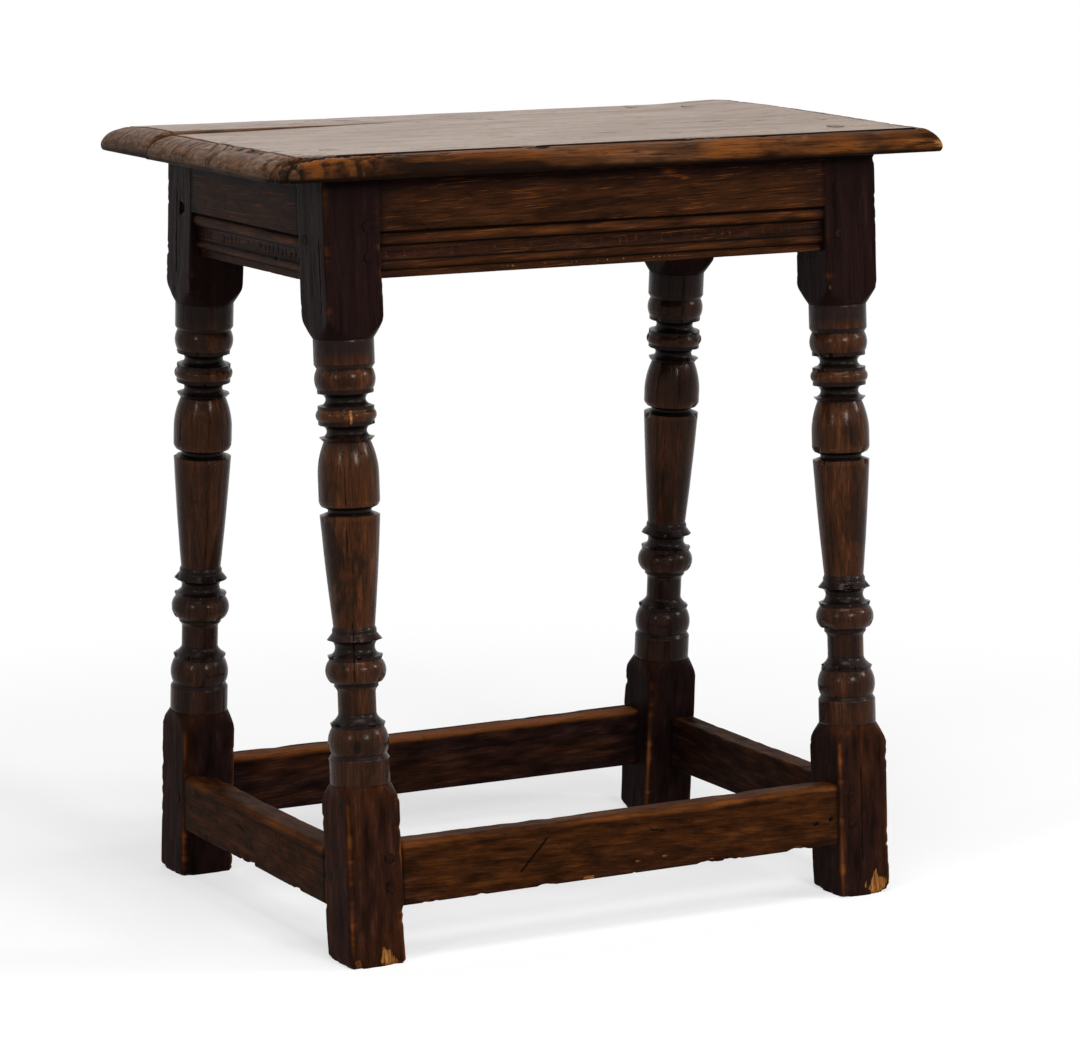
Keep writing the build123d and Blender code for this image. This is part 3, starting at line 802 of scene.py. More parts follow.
def place_bar(side, end, depth, up, along, face, bottom):
    """Points of a rail or stretcher: below its face, up from its bottom and along it."""
    out = face - depth
    if side:
        height = bottom + up
        return np.stack([
            along,
            side * foot_y + out * side * cos(rake) - height * side * sin(rake),
            out * sin(rake) + height * cos(rake),
        ], -1)
    return np.stack([end * (leg_x + out), along, bottom + up], -1)


def reach_between_legs(side, height, block_width):
    """Half length of a bar between the blocks, with its hidden ends, at each height."""
    if side:
        return leg_x - block_width / 2 + hidden_end + 0 * height
    return foot_y - height * tan(rake) - block_width / 2 / cos(rake) + hidden_end


def bar_grid(section, side, bottom, block_width, step):
    """Depth, height and place along a bar for a grid of points, and half the length of its rows."""
    depth, up = section[None, :, 0], section[None, :, 1]
    half = reach_between_legs(side, bottom + up, block_width)
    along = np.linspace(-1, 1, int(half.mean() * 2 / step))[:, None] * half
    return depth + 0 * along, up + 0 * along, along, half


def make_rail(name, look, side=0, end=0):
    """Rail with its run moulding, the punched hollow, a worn flat and dark ends."""
    seed = look["seed"]
    full_height = rail_height if side else end_rail_height
    bottom = leg_length - rail_height if side else seat_underside - end_rail_height
    section = rail_section(full_height)
    depth, up, along, half = bar_grid(section, side, bottom, upper_block_width, look["step"])
    outer = ramp(depth, rail_thickness - 1, rail_thickness - 4)
    on_flat = ramp(up, flat_bottom - 0.5, flat_bottom + 1.5) * outer

    dip = 0.22 * noise(seed, along / 55, up / 30) * on_flat
    dip = dip + 0.07 * noise(seed + 1, along / 24, up / 1.7) * outer
    waver = 0.25 * noise(seed + 2, along / 70) * ramp(up, flat_bottom + 8, flat_bottom - 4) * outer
    marks = punch_marks(seed + 3, along, up) * outer
    chips = np.clip(fractal(seed + 4, along / 9, up / 4) - 0.55, 0, 1) * outer
    arrises = (0, ovolo_bottom, hollow_bottom, vee_bottom, flat_bottom)
    edges = sum(hump(up - arris, 1.1) for arris in arrises) * outer
    depth = depth + dip + waver + 0.85 * marks + chips * (0.25 + 1.1 * edges)
    depth = np.where(up > full_height - 0.01, np.maximum(depth, 0), depth)

    low_member = ramp(up, flat_bottom + 0.5, flat_bottom - 0.5) * outer
    grooves = hump(up - vee_bottom, 0.9) + hump(up - hollow_bottom, 0.8)
    grooves = grooves + hump(up - astragal_bottom, 0.9) + 0.8 * hump(up - ovolo_bottom, 0.8)
    dirt = np.clip(grooves, 0, 1) * outer + 0.25 * marks
    dirt = dirt + 0.55 * ramp(abs(along), half - 7, half - hidden_end) * outer
    crest = hump(up - (astragal_bottom + astragal_height / 2), 2.4)
    crest = crest + 0.8 * hump(up - (ovolo_bottom + ovolo_height * 0.45), 2.0)
    wear = crest * (0.28 + 0.30 * noise(seed + 6, along / 18)) * low_member + 0.4 * chips * edges
    # The lighter wear on the marks is partly painted highlight
    wear = wear + 0.5 * marks
    # Painted highlight: pale bare wood on the rims of some of the marks, and a row of pale dots on the
    # bottom fillet, stand in for glints of light
    bare = 0.5 * ramp(marks, 0.35, 0.8) * ramp(noise(seed + 10, along / 11), -0.1, 0.3)
    for glint_dots in look["glint_dots"]:
        low, high = glint_dots["span"]
        beat = (along / glint_dots["spacing"] + 0.2 * noise(seed + 7, along / 3)) % 1 - 0.5
        glint = hump(beat * glint_dots["spacing"], 0.65) * hump(up - glint_dots["up"], 0.7)
        chance = noise(seed + 8, np.floor(along / glint_dots["spacing"]) * 1.7) > 0.0
        bare = np.maximum(bare, glint * ramp(along, low, low + 5) * ramp(along, high, high - 5) * chance)
    for dent in look["dents"]:
        blot = hump(from_spot(dent, along, up), 1)
        depth = depth + dent["depth"] * blot * outer
        wear = wear + dent["wear"] * blot

    # Painted shade: darker at the top under the seat, near the legs and on the inner face
    shade = look["shade"] + 0.75 * ramp(up, full_height - 20, full_height - 6)
    shade = shade + 0.45 * ramp(abs(along), half - 28, half - 4) + 0.35 * (1 - outer)
    shade = shade - 0.12 * on_flat + 0.2 * noise(seed + 9, along / 60, up / 16)
    # The hollow kept its old dark finish where the polishing cloth didn't reach
    shade = shade + 0.55 * hump(up - hollow_middle, 4) * outer
    points = place_bar(side, end, depth, up, along, upper_block_width / 2 - rail_recess, bottom)
    grain = np.stack([along + 500 * seed, up + look["slant"] * along + 40 * seed, depth * 0.8], -1)
    mesh = skin(name, [surface(points, grain, wear, dirt, shade, bare, rail_matte)])
    show(name, mesh, rail_oak, name.replace("moulded_", ""))


rail_looks = {
    "front": {
        "seed": 3, "step": 0.8, "shade": 0.1, "slant": -0.035,
        "dents": [
            {"at": (49, 63), "size": (7, 2.5), "depth": 0.5, "wear": 0.7},
            {"at": (62, 58), "size": (4, 1.2), "depth": 0.3, "wear": 0.8},
        ],
        "glint_dots": [{"span": (-88, 60), "spacing": 4.2, "up": 3.4}],
    },
    "back": {"seed": 5, "step": 1.0, "shade": 0.25, "slant": 0.03, "dents": [], "glint_dots": []},
    "left": {"seed": 7, "step": 0.8, "shade": 0.55, "slant": 0.02, "dents": [], "glint_dots": []},
    "right": {"seed": 9, "step": 1.0, "shade": 0.3, "slant": -0.02, "dents": [], "glint_dots": []},
}

for place, look in rail_looks.items():
    make_rail(f"moulded_rail_{place}", look, side=sides.get(place, 0), end=ends.get(place, 0))


# --- stretchers -------------------------------------------------------------------------------

stretcher_matte = 0.75


def stretcher_section(height, thickness):
    """Loop of (depth below the face, height) points round a stretcher with rounded edges."""
    def corner(centre, start, radius, count):
        turns = np.radians(start + 90 * np.arange(count + 1) / count)
        return [np.array([centre[0] + radius * cos(a), centre[1] + radius * sin(a)]) for a in turns]
    small, worn = 1.2, 5.0
    loop = corner((small, small), 180, small, 3)[::-1]
    loop += straight((0, small), (0, height - worn), 1.1)
    loop += corner((worn, height - worn), 90, worn, 9)[::-1][1:]
    loop += straight((worn, height), (thickness - small, height), 1.3)
    loop += corner((thickness - small, height - small), 0, small, 3)[::-1][1:]
    loop += straight((thickness, height - small), (thickness, small), 4)
    loop += corner((thickness - small, small), 270, small, 3)[::-1][1:]
    loop += straight((thickness - small, 0), (small, 0), 3)[:-1]
    return np.array(loop)


def make_stretcher(name, look, side=0, end=0):
    """Stretcher with a foot-worn top edge, chips, scratches and worm holes."""
    seed = look["seed"]
    full_height = stretcher_height if side else end_stretcher_height
    bottom = stretcher_bottom if side else end_stretcher_bottom
    recess = stretcher_recess if side else end_stretcher_recess
    section = stretcher_section(full_height, stretcher_thickness)
    depth, up, along, half = bar_grid(section, side, bottom, lower_block_width, look["step"])
    outer = ramp(depth, 9, 6)
    inner = ramp(depth, stretcher_thickness - 5, stretcher_thickness - 1)
    top = ramp(up, full_height - 6, full_height - 0.5)
    low_edge = ramp(up, 5, 0.5) * outer

    middle = hump(along / half, 0.75)
    ripple = 0.35 * noise(seed, along / 60, up / 25) + 0.10 * noise(seed + 1, along / 22, up / 2.0)
    worn_top = top * (0.9 * middle + 0.8 * np.clip(fractal(seed + 2, along / 26, depth / 14), 0, 1))
    chipped = low_edge * np.clip(fractal(seed + 3, along / 13, up / 6) - 0.2, 0, 1)
    fine_chips = np.clip(fractal(seed + 4, along / 6, (up + depth) / 4) - 0.72, 0, 1)
    tilt = np.clip(depth / stretcher_thickness, 0, 1)
    new_up = up - worn_top - 0.10 * top * noise(seed + 5, along / 16, depth / 2.2) + 1.6 * chipped
    new_depth = depth + (ripple + 1.8 * chipped + 0.9 * fine_chips) * (1 - tilt) - ripple * tilt

    wear = 0.5 * hump(up - (full_height - 2.2), 3.2) * ramp(depth, 8, 4)
    wear = wear * (0.75 + 0.5 * noise(seed + 6, along / 30)) + 0.6 * chipped
    wear = wear + look.get("top_wear", 0.22) * top * (1 - outer)
    dirt = 0.6 * ramp(abs(along), half - 6, half - hidden_end) + 0.5 * fine_chips
    line = full_height - look["line_drop"] + 0.7 * noise(seed + 7, along / 35)
    dirt = dirt + 0.55 * hump(up - line, 1.0) * outer * ramp(noise(seed + 8, along / 50), -0.6, 0.1)
    bare = 0.0
    for patch in look["patches"]:
        ragged = 0.5 * fractal(seed + 9, along / 4, up / 2.5)
        blot = ramp(1.1 + ragged - from_spot(patch, along, up), 0, 0.7) * outer
        bare = np.maximum(bare, 0.7 * blot)
        new_depth = new_depth + 0.5 * blot
    for scratch in look["scratches"]:
        cut = hump(from_line(scratch, along, up), scratch["width"]) * outer
        new_depth = new_depth + scratch["depth"] * cut
        dirt = np.maximum(dirt, 1.2 * cut)
    # Painted shade: darker near the legs, on the inner face and towards the bottom
    shade = look["shade"] + 0.35 * ramp(abs(along), half - 30, half - 4) + 0.45 * inner
    shade = shade + 0.25 * noise(seed + 10, along / 70, up / 18) + 0.3 * ramp(up, 8, 0) * (1 - bare)
    points = place_bar(side, end, new_depth, new_up, along, lower_block_width / 2 - recess, bottom)
    grain = np.stack([along + 450 * seed, up + look["slant"] * along + 60 * seed, depth], -1)
    mesh = skin(name, [surface(points, grain, wear, dirt, shade, bare, stretcher_matte)])
    show(name, mesh, stretcher_oak, name.replace("worn_", ""))


stretcher_looks = {
    "front": {
        "seed": 61, "step": 0.85, "shade": -0.05, "slant": 0.05, "line_drop": 7.5,
        "patches": [
            {"at": (-31, 1.5), "size": (5, 1.6)},
            {"at": (10, 8.5), "size": (4, 1.2)},
            {"at": (31, 9.5), "size": (3, 1.0)},
            {"at": (70, 2.0), "size": (4, 1.2)},
        ],
        "scratches": [
            {"from": (-64.5, 33.3), "to": (-85.3, 12.7), "width": 0.8, "depth": 0.8},
            {"from": (159, 17.0), "to": (160.5, 17.4), "width": 1.1, "depth": 2.0},
            {"from": (172, 19.0), "to": (173, 19.6), "width": 1.2, "depth": 2.0},
            {"from": (20, 30.0), "to": (33, 27.5), "width": 0.6, "depth": 0.3},
        ],
    },
    "back": {
        "seed": 67, "step": 1.0, "shade": 0.3, "slant": -0.03, "line_drop": 9, "top_wear": 0.7,
        "patches": [], "scratches": [{"from": (-40, 30), "to": (-10, 24), "width": 0.7, "depth": 0.4}],
    },
    "left": {
        "seed": 71, "step": 0.85, "shade": 0.1, "slant": 0.02, "line_drop": 7,
        "patches": [], "scratches": [{"from": (12, 22), "to": (24, 25), "width": 0.6, "depth": 0.4}],
    },
    "right": {"seed": 73, "step": 1.0, "shade": 0.2, "slant": -0.04, "line_drop": 8, "patches": [],
              "scratches": []},
}

for place, look in stretcher_looks.items():
    make_stretcher(f"worn_stretcher_{place}", look, side=sides.get(place, 0), end=ends.get(place, 0))


# --- seat -------------------------------------------------------------------------------------

half_length = board_high[0]
half_width = board_high[1]
board_thickness = board_high[2] - board_low[2]
end_moulding_width = 17.0
side_moulding_width = 12.0
nose_height = 4.0
nose_undercut = 2.2
nose_steps = 6              # rows of points down the nose
board_quirk = 1.2

# Splits run with the grain from the left end: places (x, y), depth at the first and the last
seat_splits = [
    {"path": [(-267, 64.8), (-248, 62), (-146, 70.7), (-35, 90.3)], "depth": (9.0, 0.8), "width": 0.95},
    {"path": [(-267, 1), (-262, 0), (-254, -1)], "depth": (1.5, 0.3), "width": 0.4},
    {"path": [(-267, -38), (-260, -38), (-253, -37)], "depth": (0.7, 0.2), "width": 0.35},
]
lifted_strip = 2.3          # the wood behind the long split has warped up by this much at its end
cupped_corner = 2.4         # and so has the right end of the board, towards the back
# Short cracks that run askew to the grain: from, to, width and depth
seat_cracks = [
    {"from": (-259, -29), "to": (-238, -10), "width": 0.8, "depth": 1.6},
    {"from": (-256, -44), "to": (-246, -33), "width": 0.7, "depth": 1.0},
    {"from": (-241, -134), "to": (-218, -128), "width": 0.6, "depth": 0.8},
]
# Dark hollows: knots on the front groove and old damage near the back
seat_marks = [
    {"at": (-66, -139), "size": (8, 2.6), "depth": 1.3},
    {"at": (62, -138), "size": (6, 2.0), "depth": 0.9},
    {"at": (79, -139), "size": (5, 1.8), "depth": 0.9},
    {"at": (-88, 112), "size": (17, 4.4), "depth": 0.8},
    {"at": (-110, 118), "size": (7, 3.6), "depth": 0.8},
    {"at": (163, 122), "size": (6, 3.6), "depth": 0.8},
    {"at": (150, -20), "size": (16, 1.2), "depth": 0.3},
    {"at": (-20, 40), "size": (22, 1.0), "depth": 0.3},
    {"at": (-243, -98), "size": (5, 4), "depth": 1.2},
    {"at": (-228, -139), "size": (9, 2.5), "depth": 1.4},
]
# How much of each corner is gone, and how far along the edges
corner_wear = {
    (LEFT, FRONT): (5.0, 9.0),
    (RIGHT, FRONT): (0.5, 4.0),
    (LEFT, BACK): (0.6, 4.0),
    (RIGHT, BACK): (3.0, 13.0),
}
chewed_corner = {"at": (-252, -136), "size": (17, 19)}


def grid_lines(half, moulding, fine_count, coarse_step, margin, extra=()):
    """Lines across the board: fine over both mouldings and at the splits, coarse between."""
    fine = moulding * (1 - np.cos(np.linspace(0, pi / 2, fine_count)))
    fine = np.concatenate([fine, moulding + np.array([0.5, 1.3, 2.4, 3.8, 5.4])])
    inner = half - fine[-1] - margin
    coarse = np.linspace(-inner, inner, ceil(2 * inner / coarse_step))
    for place in extra:
        around = place + np.array([-3, -1.8, -1.0, -0.5, 0.0, 0.5, 1.0, 1.8, 3])
        coarse = np.concatenate([coarse[abs(coarse - place) > 3.6], around])
    coarse = np.sort(coarse)
    return np.concatenate([-half + fine, coarse, half - fine[::-1]])


def moulding_height(inward, width):
    """Height of the top of the board over its underside, by the distance from its nose."""
    share = np.clip(inward / width, 0, 1)
    crown = board_thickness - board_quirk - nose_height
    curve = nose_height + crown * np.sqrt(np.clip(1 - (1 - share) ** 2, 0, 1))
    return np.where(inward > width, curve + board_quirk * ramp(inward, width, width + 0.6), curve)


def split_line(split, x):
    """How far back a split lies at each place along the board."""
    path_x, path_y = np.array(split["path"], float).T
    return np.interp(x, path_x, path_y)


def seat_places(seed):
    """Where the points of the seat lie from above, and how far each was from an end and a side."""
    split_rows = [split["path"][1][1] for split in seat_splits]
    xs = grid_lines(half_length, end_moulding_width, 24, 2.0, 1.6)
    ys = grid_lines(half_width, side_moulding_width, 18, 1.6, 1.2, split_rows)
    x = xs[:, None] + 0 * ys[None, :]
    y = ys[None, :] + 0 * xs[:, None]
    near_end = half_length - abs(x)
    near_side = half_width - abs(y)
    for split, row in zip(seat_splits, split_rows):
        route = split_line(split, x) + 0.5 * noise(seed, x / 17)
        y = y + (route - row) * hump(ys[None, :] - row, 13)

    # The left end is worn wider, and the moulding wanders a little everywhere
    end_width = end_moulding_width + np.where(x < 0, 3.2, 0.6) + 0.8 * noise(seed + 1, y / 28, np.sign(x))
    side_width = side_moulding_width + 0.5 * noise(seed + 2, x / 33, np.sign(y))
    widening = 1 + (end_width / end_moulding_width - 1) * ramp(near_end, 40, 22)
    x = np.sign(x) * (half_length - near_end * widening)
    moved_y = np.sign(y) * (half_width - near_side * side_width / side_moulding_width)
    return x, np.where(near_side < 20, moved_y, y), near_end, near_side


def break_board(seed, x, y, z, dirt):
    """Knots, splits and cracks: the new heights and dirt, and the brown rims of the splits."""
    for mark in seat_marks:
        ragged = 0.5 * fractal(seed + 9, x / 7, y / 3)
        blot = ramp(1.25 + ragged - from_spot(mark, x, y), 0, 0.8)
        z = z - mark["depth"] * blot
        dirt = np.maximum(dirt, blot)

    # Rough dark bits along the quirk of the left end
    rough = ramp(x, -240, -246) * ramp(x, -256, -251) * ramp(y, -108, -94) * ramp(y, -34, -44)
    rough = rough * ramp(fractal(seed + 10, x / 6, y / 7), -0.1, 0.5)
    z = z - 1.0 * rough
    dirt = np.maximum(dirt, rough)

    brown_rim = 0.0             # wood beside a split that the pale top, partly painted sheen, has broken away from
    for split in seat_splits:
        route = split_line(split, x) + 0.5 * noise(seed, x / 17)
        first_x, last_x = split["path"][0][0], split["path"][-1][0]
        first_depth, last_depth = split["depth"]
        fade = np.clip((last_x - x) / (last_x - first_x), 0, 1)
        rim = hump(y - route, split["width"] * (1.5 + 2.5 * fade)) * ramp(fade, 0.1, 0.5)
        brown_rim = np.maximum(brown_rim, rim)
        depth = (last_depth + (first_depth - last_depth) * fade**2) * ramp(fade, 0, 0.12)
        line = hump(y - route, split["width"] * (0.55 + 0.75 * fade))
        z = z - depth * line * np.clip(z / board_thickness, 0.35, 1)
        dirt = np.maximum(dirt, line * ramp(fade, 0.0, 0.15) * 1.2)
    for crack in seat_cracks:
        cut = hump(from_line(crack, x, y), crack["width"])
        z = z - crack["depth"] * cut
        dirt = np.maximum(dirt, 1.2 * cut)
    return z, dirt, brown_rim


def wear_corners(seed, x, y, z):
    """The board with its four corners worn round."""
    for (end, side), (amount, spread) in corner_wear.items():
        gap_x, gap_y = half_length - end * x, half_width - side * y
        close = hump(np.hypot(np.clip(gap_x, 0, None), np.clip(gap_y, 0, None)), spread * 1.35)
        ragged = 1 + 0.35 * fractal(seed + 11, x / 5, y / 5)
        x = x - end * amount * 0.8 * close * ragged
        y = y - side * amount * 0.6 * close * ragged
        z = nose_height + (z - nose_height) * (1 - 0.05 * amount * close)
    return x, y, z


def make_seat(name):
    """One-board seat: top and moulding are a height field, closed by a nose and a flat underside."""
    seed = 91
    x, y, near_end, near_side = seat_places(seed)
    end_share = near_end / end_moulding_width
    side_share = near_side / side_moulding_width
    end_height = moulding_height(near_end, end_moulding_width)
    z = smallest(end_height, moulding_height(near_side, side_moulding_width), 0.35)
    edge = np.minimum(end_share, side_share)
    on_top = ramp(edge, 1.0, 1.08)
    quirk = hump(edge - 1.0, 0.075)
    moulded = 1 - on_top
    left_end = moulded * ramp(end_share, 1.05, 0.95) * (x < 0)
    right_end = moulded * ramp(end_share, 1.05, 0.95) * (x > 0)

    dirt = quirk * (0.95 - 0.6 * ramp(end_share, 1.3, 1.05) * (x < 0))
    wear = moulded * (0.36 + 0.35 * noise(seed + 3, x / 26, y / 26)) * (1 - 0.7 * left_end)

    # Long shallow waves and raised fibre on the top, hard streaks on the mouldings
    z = z + on_top * (0.35 * noise(seed + 4, x / 120, y / 14) + 0.10 * noise(seed + 5, x / 45, y / 2.4))
    z = z + 0.10 * (moulded - left_end) * noise(seed + 6, x / 30, y / 3)
    z = z + moulded * (0.14 * noise(seed + 7, x / 22, y / 22) + 0.08 * fractal(seed + 16, x / 7, y / 7))
    z = z + 0.7 * left_end * hump(edge - 0.92, 0.2)
    nicks = np.clip(fractal(seed + 8, x / 15, y / 3) - 0.55 - 0.25 * on_top, 0, 1)
    z = z - 0.9 * nicks
    dirt = dirt + 1.1 * nicks

    # The front moulding is gnarled and sooty towards the left corner; it is also darker towards its nose and
    # the left
    front_edge = moulded * ramp(side_share, 1.1, 0.9) * (y < 0)
    gnarled = front_edge * ramp(x, -150, -205)
    knobs = fractal(seed + 17, x / 6, y / 2.6, octaves=4)
    z = z - 1.5 * gnarled * np.clip(knobs + 0.15, 0, 1)
    y = y + 1.0 * gnarled * knobs
    dirt = np.maximum(dirt, gnarled * (0.2 + 0.55 * ramp(knobs, -0.35, 0.7)))
    darkening_height = edge + 0.12 * fractal(seed + 18, x / 40, edge * 9) + (x + 100) / 900
    dirt = np.maximum(dirt, 0.8 * front_edge * ramp(darkening_height, 0.30, 0.02) * (1 - 0.45 * gnarled))
    dirt = np.maximum(dirt, 0.45 * front_edge * ramp(noise(seed + 19, x / 45, edge * 11), 0.0, 0.7))
    wear = wear + 0.3 * gnarled * ramp(knobs, 0.2, -0.6)

    z, dirt, brown_rim = break_board(seed, x, y, z, dirt)

    # The wood behind the long split and the right end of the board have warped up
    beyond = ramp(y - split_line(seat_splits[0], x), 0.3, 1.1)
    z = z + lifted_strip * beyond * np.clip((-60 - x) / 170, 0, 1) * ramp(y, 155, 85)
    x = x + 1.7 * beyond * ramp(near_end, 16, 0) * ramp(x, -120, -240)
    z = z + cupped_corner * ramp(x, 185, 262) * ramp(y, -140, 60) * np.clip(z / board_thickness, 0.3, 1)
    z = z + 1.2 * right_end * hump(edge - 0.7, 0.35)

    # Worn corners, and the one at the front left chewed as well
    x, y, z = wear_corners(seed, x, y, z)
    chewed = ramp(1.2 + 0.5 * fractal(seed + 12, x / 6, y / 6) - from_spot(chewed_corner, x, y), 0, 0.7)
    gouges = np.clip(fractal(seed + 13, x / 7, y / 2.2) + 0.1, 0, 1)
    z = z - chewed * np.clip(z - nose_height - 1, 0, 2.0) * gouges
    dirt = np.maximum(dirt, chewed * ramp(gouges, 0.25, 0.6))
    bare_tip = 0.5 * hump(np.hypot(x - half_length, y + half_width), 13)
    bare = np.maximum(0.42 * chewed * moulded, bare_tip)
    # Part of the left end has lost its dark finish
    bare_end = 0.3 * left_end * ramp(y, -36, -44) * ramp(y, -132, -112) * ramp(edge, 0.95, 0.7)
    bare = np.maximum(bare, bare_end)

    outline_wave = 0.35 * noise(seed + 14, x / 40, y / 40) + 0.18 * noise(seed + 15, x / 9, y / 9)
    x = x - np.sign(x) * (0.2 + outline_wave) * ramp(near_end, 20, 0)
    y = y - np.sign(y) * (0.2 + outline_wave) * ramp(near_side, 16, 0)

    # Shade takes the top to the pale palette, which is partly painted sheen, and the left end part way, for
    # its end grain and a painted sheen from grazing light
    shade = 0.95 * on_top * (1 - 0.75 * brown_rim) + 0.1 * moulded + 0.28 * left_end
    shade = shade + 0.15 * noise(seed + 16, x / 90, y / 22)
    matte = 0.35 * on_top + 0.1 * moulded + 0.85 * left_end
    points = np.stack([x, y, seat_underside + z], -1)
    # End grain shows short flecks where long grain shows streaks
    grain = np.stack([x * (1 + 2.5 * left_end), y, z * (0.6 + 2.0 * left_end)], -1)
    board = close_board(name, *surface(points, grain, wear, dirt, shade, bare, matte))
    show(name, board, seat_oak, "seat_board")
    # The moulding, the nose and the underside never got the polish of the top
    board.materials.append(moulding_oak)
    top_faces = on_top[:-1, :-1].ravel() > 0.5
    kinds = np.ones(len(board.polygons), np.int32)
    kinds[:len(top_faces)][top_faces] = 0
    board.polygons.foreach_set("material_index", kinds)


def close_board(name, points, layers):
    """Adds the undercut nose and the underside to the height field of the board."""
    rows, columns = points.shape[:2]
    index = np.arange(rows * columns).reshape(rows, columns)
    loop = np.concatenate([index[:, 0], index[-1, 1:], index[:-1, -1][::-1], index[0, 1:-1][::-1]])
    faces = grid_faces(rows, columns, 0, closed=False)
    flat = points.reshape(-1, 3)
    edge = flat[loop]
    all_points = [flat]
    all_layers = {layer: [values] for layer, values in layers.items()}
    previous = loop
    first = len(flat)
    # Painted shade: the undercut nose darkens as it turns under, and the underside is dark all over
    underside = {"dirt": 0.85, "shade": 0.0, "wear": 0.0, "bare": 0.0, "matte": 1.0}
    for step in range(1, nose_steps + 1):
        lean = radians(90 * step / nose_steps)
        inward = nose_undercut * (1 - cos(lean))
        ring = edge.copy()
        ring[:, 0] *= (half_length - inward) / half_length
        ring[:, 1] *= (half_width - inward) / half_width
        ring[:, 2] = seat_underside + (edge[:, 2] - seat_underside) * (1 - sin(lean))
        numbers = np.arange(first, first + len(loop))
        for a, b, c, d in zip(previous, np.roll(previous, -1), np.roll(numbers, -1), numbers):
            faces.append([int(d), int(c), int(b), int(a)])
        all_points.append(ring)
        for layer, values in all_layers.items():
            start = values[0][loop]
            if layer == "grain":
                values.append(np.stack([ring[:, 0], ring[:, 1], 0.6 * (ring[:, 2] - seat_underside)], -1))
            else:
                share = min(1, step / 3)
                values.append(start * (1 - share) + underside[layer] * share)
        previous = numbers
        first += len(loop)
    faces.append([int(n) for n in previous])
    joined = {layer: np.concatenate(values) for layer, values in all_layers.items()}
    return make_mesh(name, np.concatenate(all_points), faces, joined)


make_seat("moulded_seat")


# --- pegs -------------------------------------------------------------------------------------

peg_radius = 3.7
seat_peg_radius = 7.0
peg_facets = 7
peg_tilt = 0.25             # how far the askew cut rises at the rim
peg_root = 4.0              # how far a head runs into the wood
peg_proud = 0.45
peg_sunken = 1.4            # how far the sunken peg lies below the face
peg_setback = 10.5          # from the inner face of a block to its pegs
face_inset = 0.1            # heads are measured from this far below the face
rail_peg_heights = {LEFT: (488.6, 510.0), RIGHT: (486.0, 519.4)}
stretcher_peg_heights = (53.6, 73.6)
end_rail_peg_height = 500.1
end_stretcher_peg_height = 59.6
sunk_peg_shift = np.array([0, 6.0, 3.6])    # its hand-bored hole lies a little off


def peg_surface(seed, centre, axis, radius, proud, shade, extra_dirt):
    """Head of one cleft peg: a rod whittled to a few uneven sides, its end cut a little askew."""
    axis = np.array(axis, float) / np.linalg.norm(axis)
    across = np.cross(axis, (0.3, 0.2, 1.0) if abs(axis[2]) < 0.9 else (1.0, 0, 0))
    across = across / np.linalg.norm(across)
    other = np.cross(axis, across)
    angles = np.linspace(0, 2 * pi, 40, endpoint=False)
    lobes = 1 + 0.05 * np.cos(peg_facets * angles + seed) + 0.05 * np.cos(2 * angles + seed * 2.3)
    # Share of the radius and height over the face, from the root to the middle of the head
    share, rise = np.array([
        (1.0, -peg_root), (1.0, -1.0), (1.0, 0.0), (0.985, proud * 0.55), (0.94, proud * 0.9),
        (0.86, proud), (0.65, proud * 1.04), (0.4, proud * 1.06), (0.15, proud * 1.06),
    ]).T[..., None]
    reach = radius * lobes * share
    side_x, side_y = reach * np.cos(angles), reach * np.sin(angles)
    skew = peg_tilt * side_x / radius * ramp(rise, -0.5, proud * 0.9)
    cut = 0.12 * noise(seed, side_x / 1.6, side_y / 1.6) * ramp(rise, proud * 0.4, proud)
    along = rise + skew + cut
    points = centre + along[..., None] * axis + side_x[..., None] * across + side_y[..., None] * other
    rim = ramp(share + 0 * angles, 0.90, 1.0)
    grain = np.stack([along * 3 + 31 * seed, side_x, side_y], -1)
    dirt = np.clip(0.95 * rim + extra_dirt, 0, 1.5)
    return surface(points, grain, wear=0.04 * (1 - rim), dirt=dirt, shade=shade, bare=0, matte=0.6)


def side_face(side, end, height, block_width):
    """Place of a peg on the face of a long frame and the direction out of it."""
    out = np.array([0, side * cos(rake), sin(rake)])
    up = np.array([0, -side * sin(rake), cos(rake)])
    foot = np.array([end * (leg_x - block_width / 2 + peg_setback), side * foot_y, 0])
    return foot + out * (block_width / 2 - face_inset) + up * height, out


def end_face(end, side, height, block_width):
    """Place of a peg on the face of an end frame and the direction out of it."""
    reach = block_width / 2 / cos(rake) - peg_setback
    across = side * (foot_y - height * tan(rake) - reach)
    return np.array([end * (leg_x + block_width / 2 - face_inset), across, height]), (end, 0, 0)


def peg_group(name, places, seed, shade, radius=peg_radius, sunken=None, material=peg_oak):
    """All the pegs of one joint line as one piece; a sunken peg lies below the face."""
    heads = []
    for number, (centre, axis) in enumerate(places):
        own = seed + 13 * number
        size = radius * (1 + 0.10 * lattice(own, np.array([3]))[0])
        proud = peg_proud + 0.2 * lattice(own, np.array([5]))[0]
        extra_dirt = 0.0
        if number == sunken:
            proud = -peg_sunken
            extra_dirt = 1.0
        heads.append(peg_surface(own, centre, axis, size, proud, shade, extra_dirt))
    show(name, skin(name, heads), material, name.replace("cleft_", ""))


for side_name, side in sides.items():
    rail_places = [
        side_face(side, end, height, upper_block_width)
        for end in ends.values() for height in rail_peg_heights[end]
    ]
    low_places = [
        side_face(side, end, height, lower_block_width)
        for end in ends.values() for height in stretcher_peg_heights
    ]
    peg_group(f"cleft_pegs_rail_{side_name}", rail_places, 201 + side, shade=1.1)
    peg_group(f"cleft_pegs_stretcher_{side_name}", low_places, 231 + side, shade=0.7)

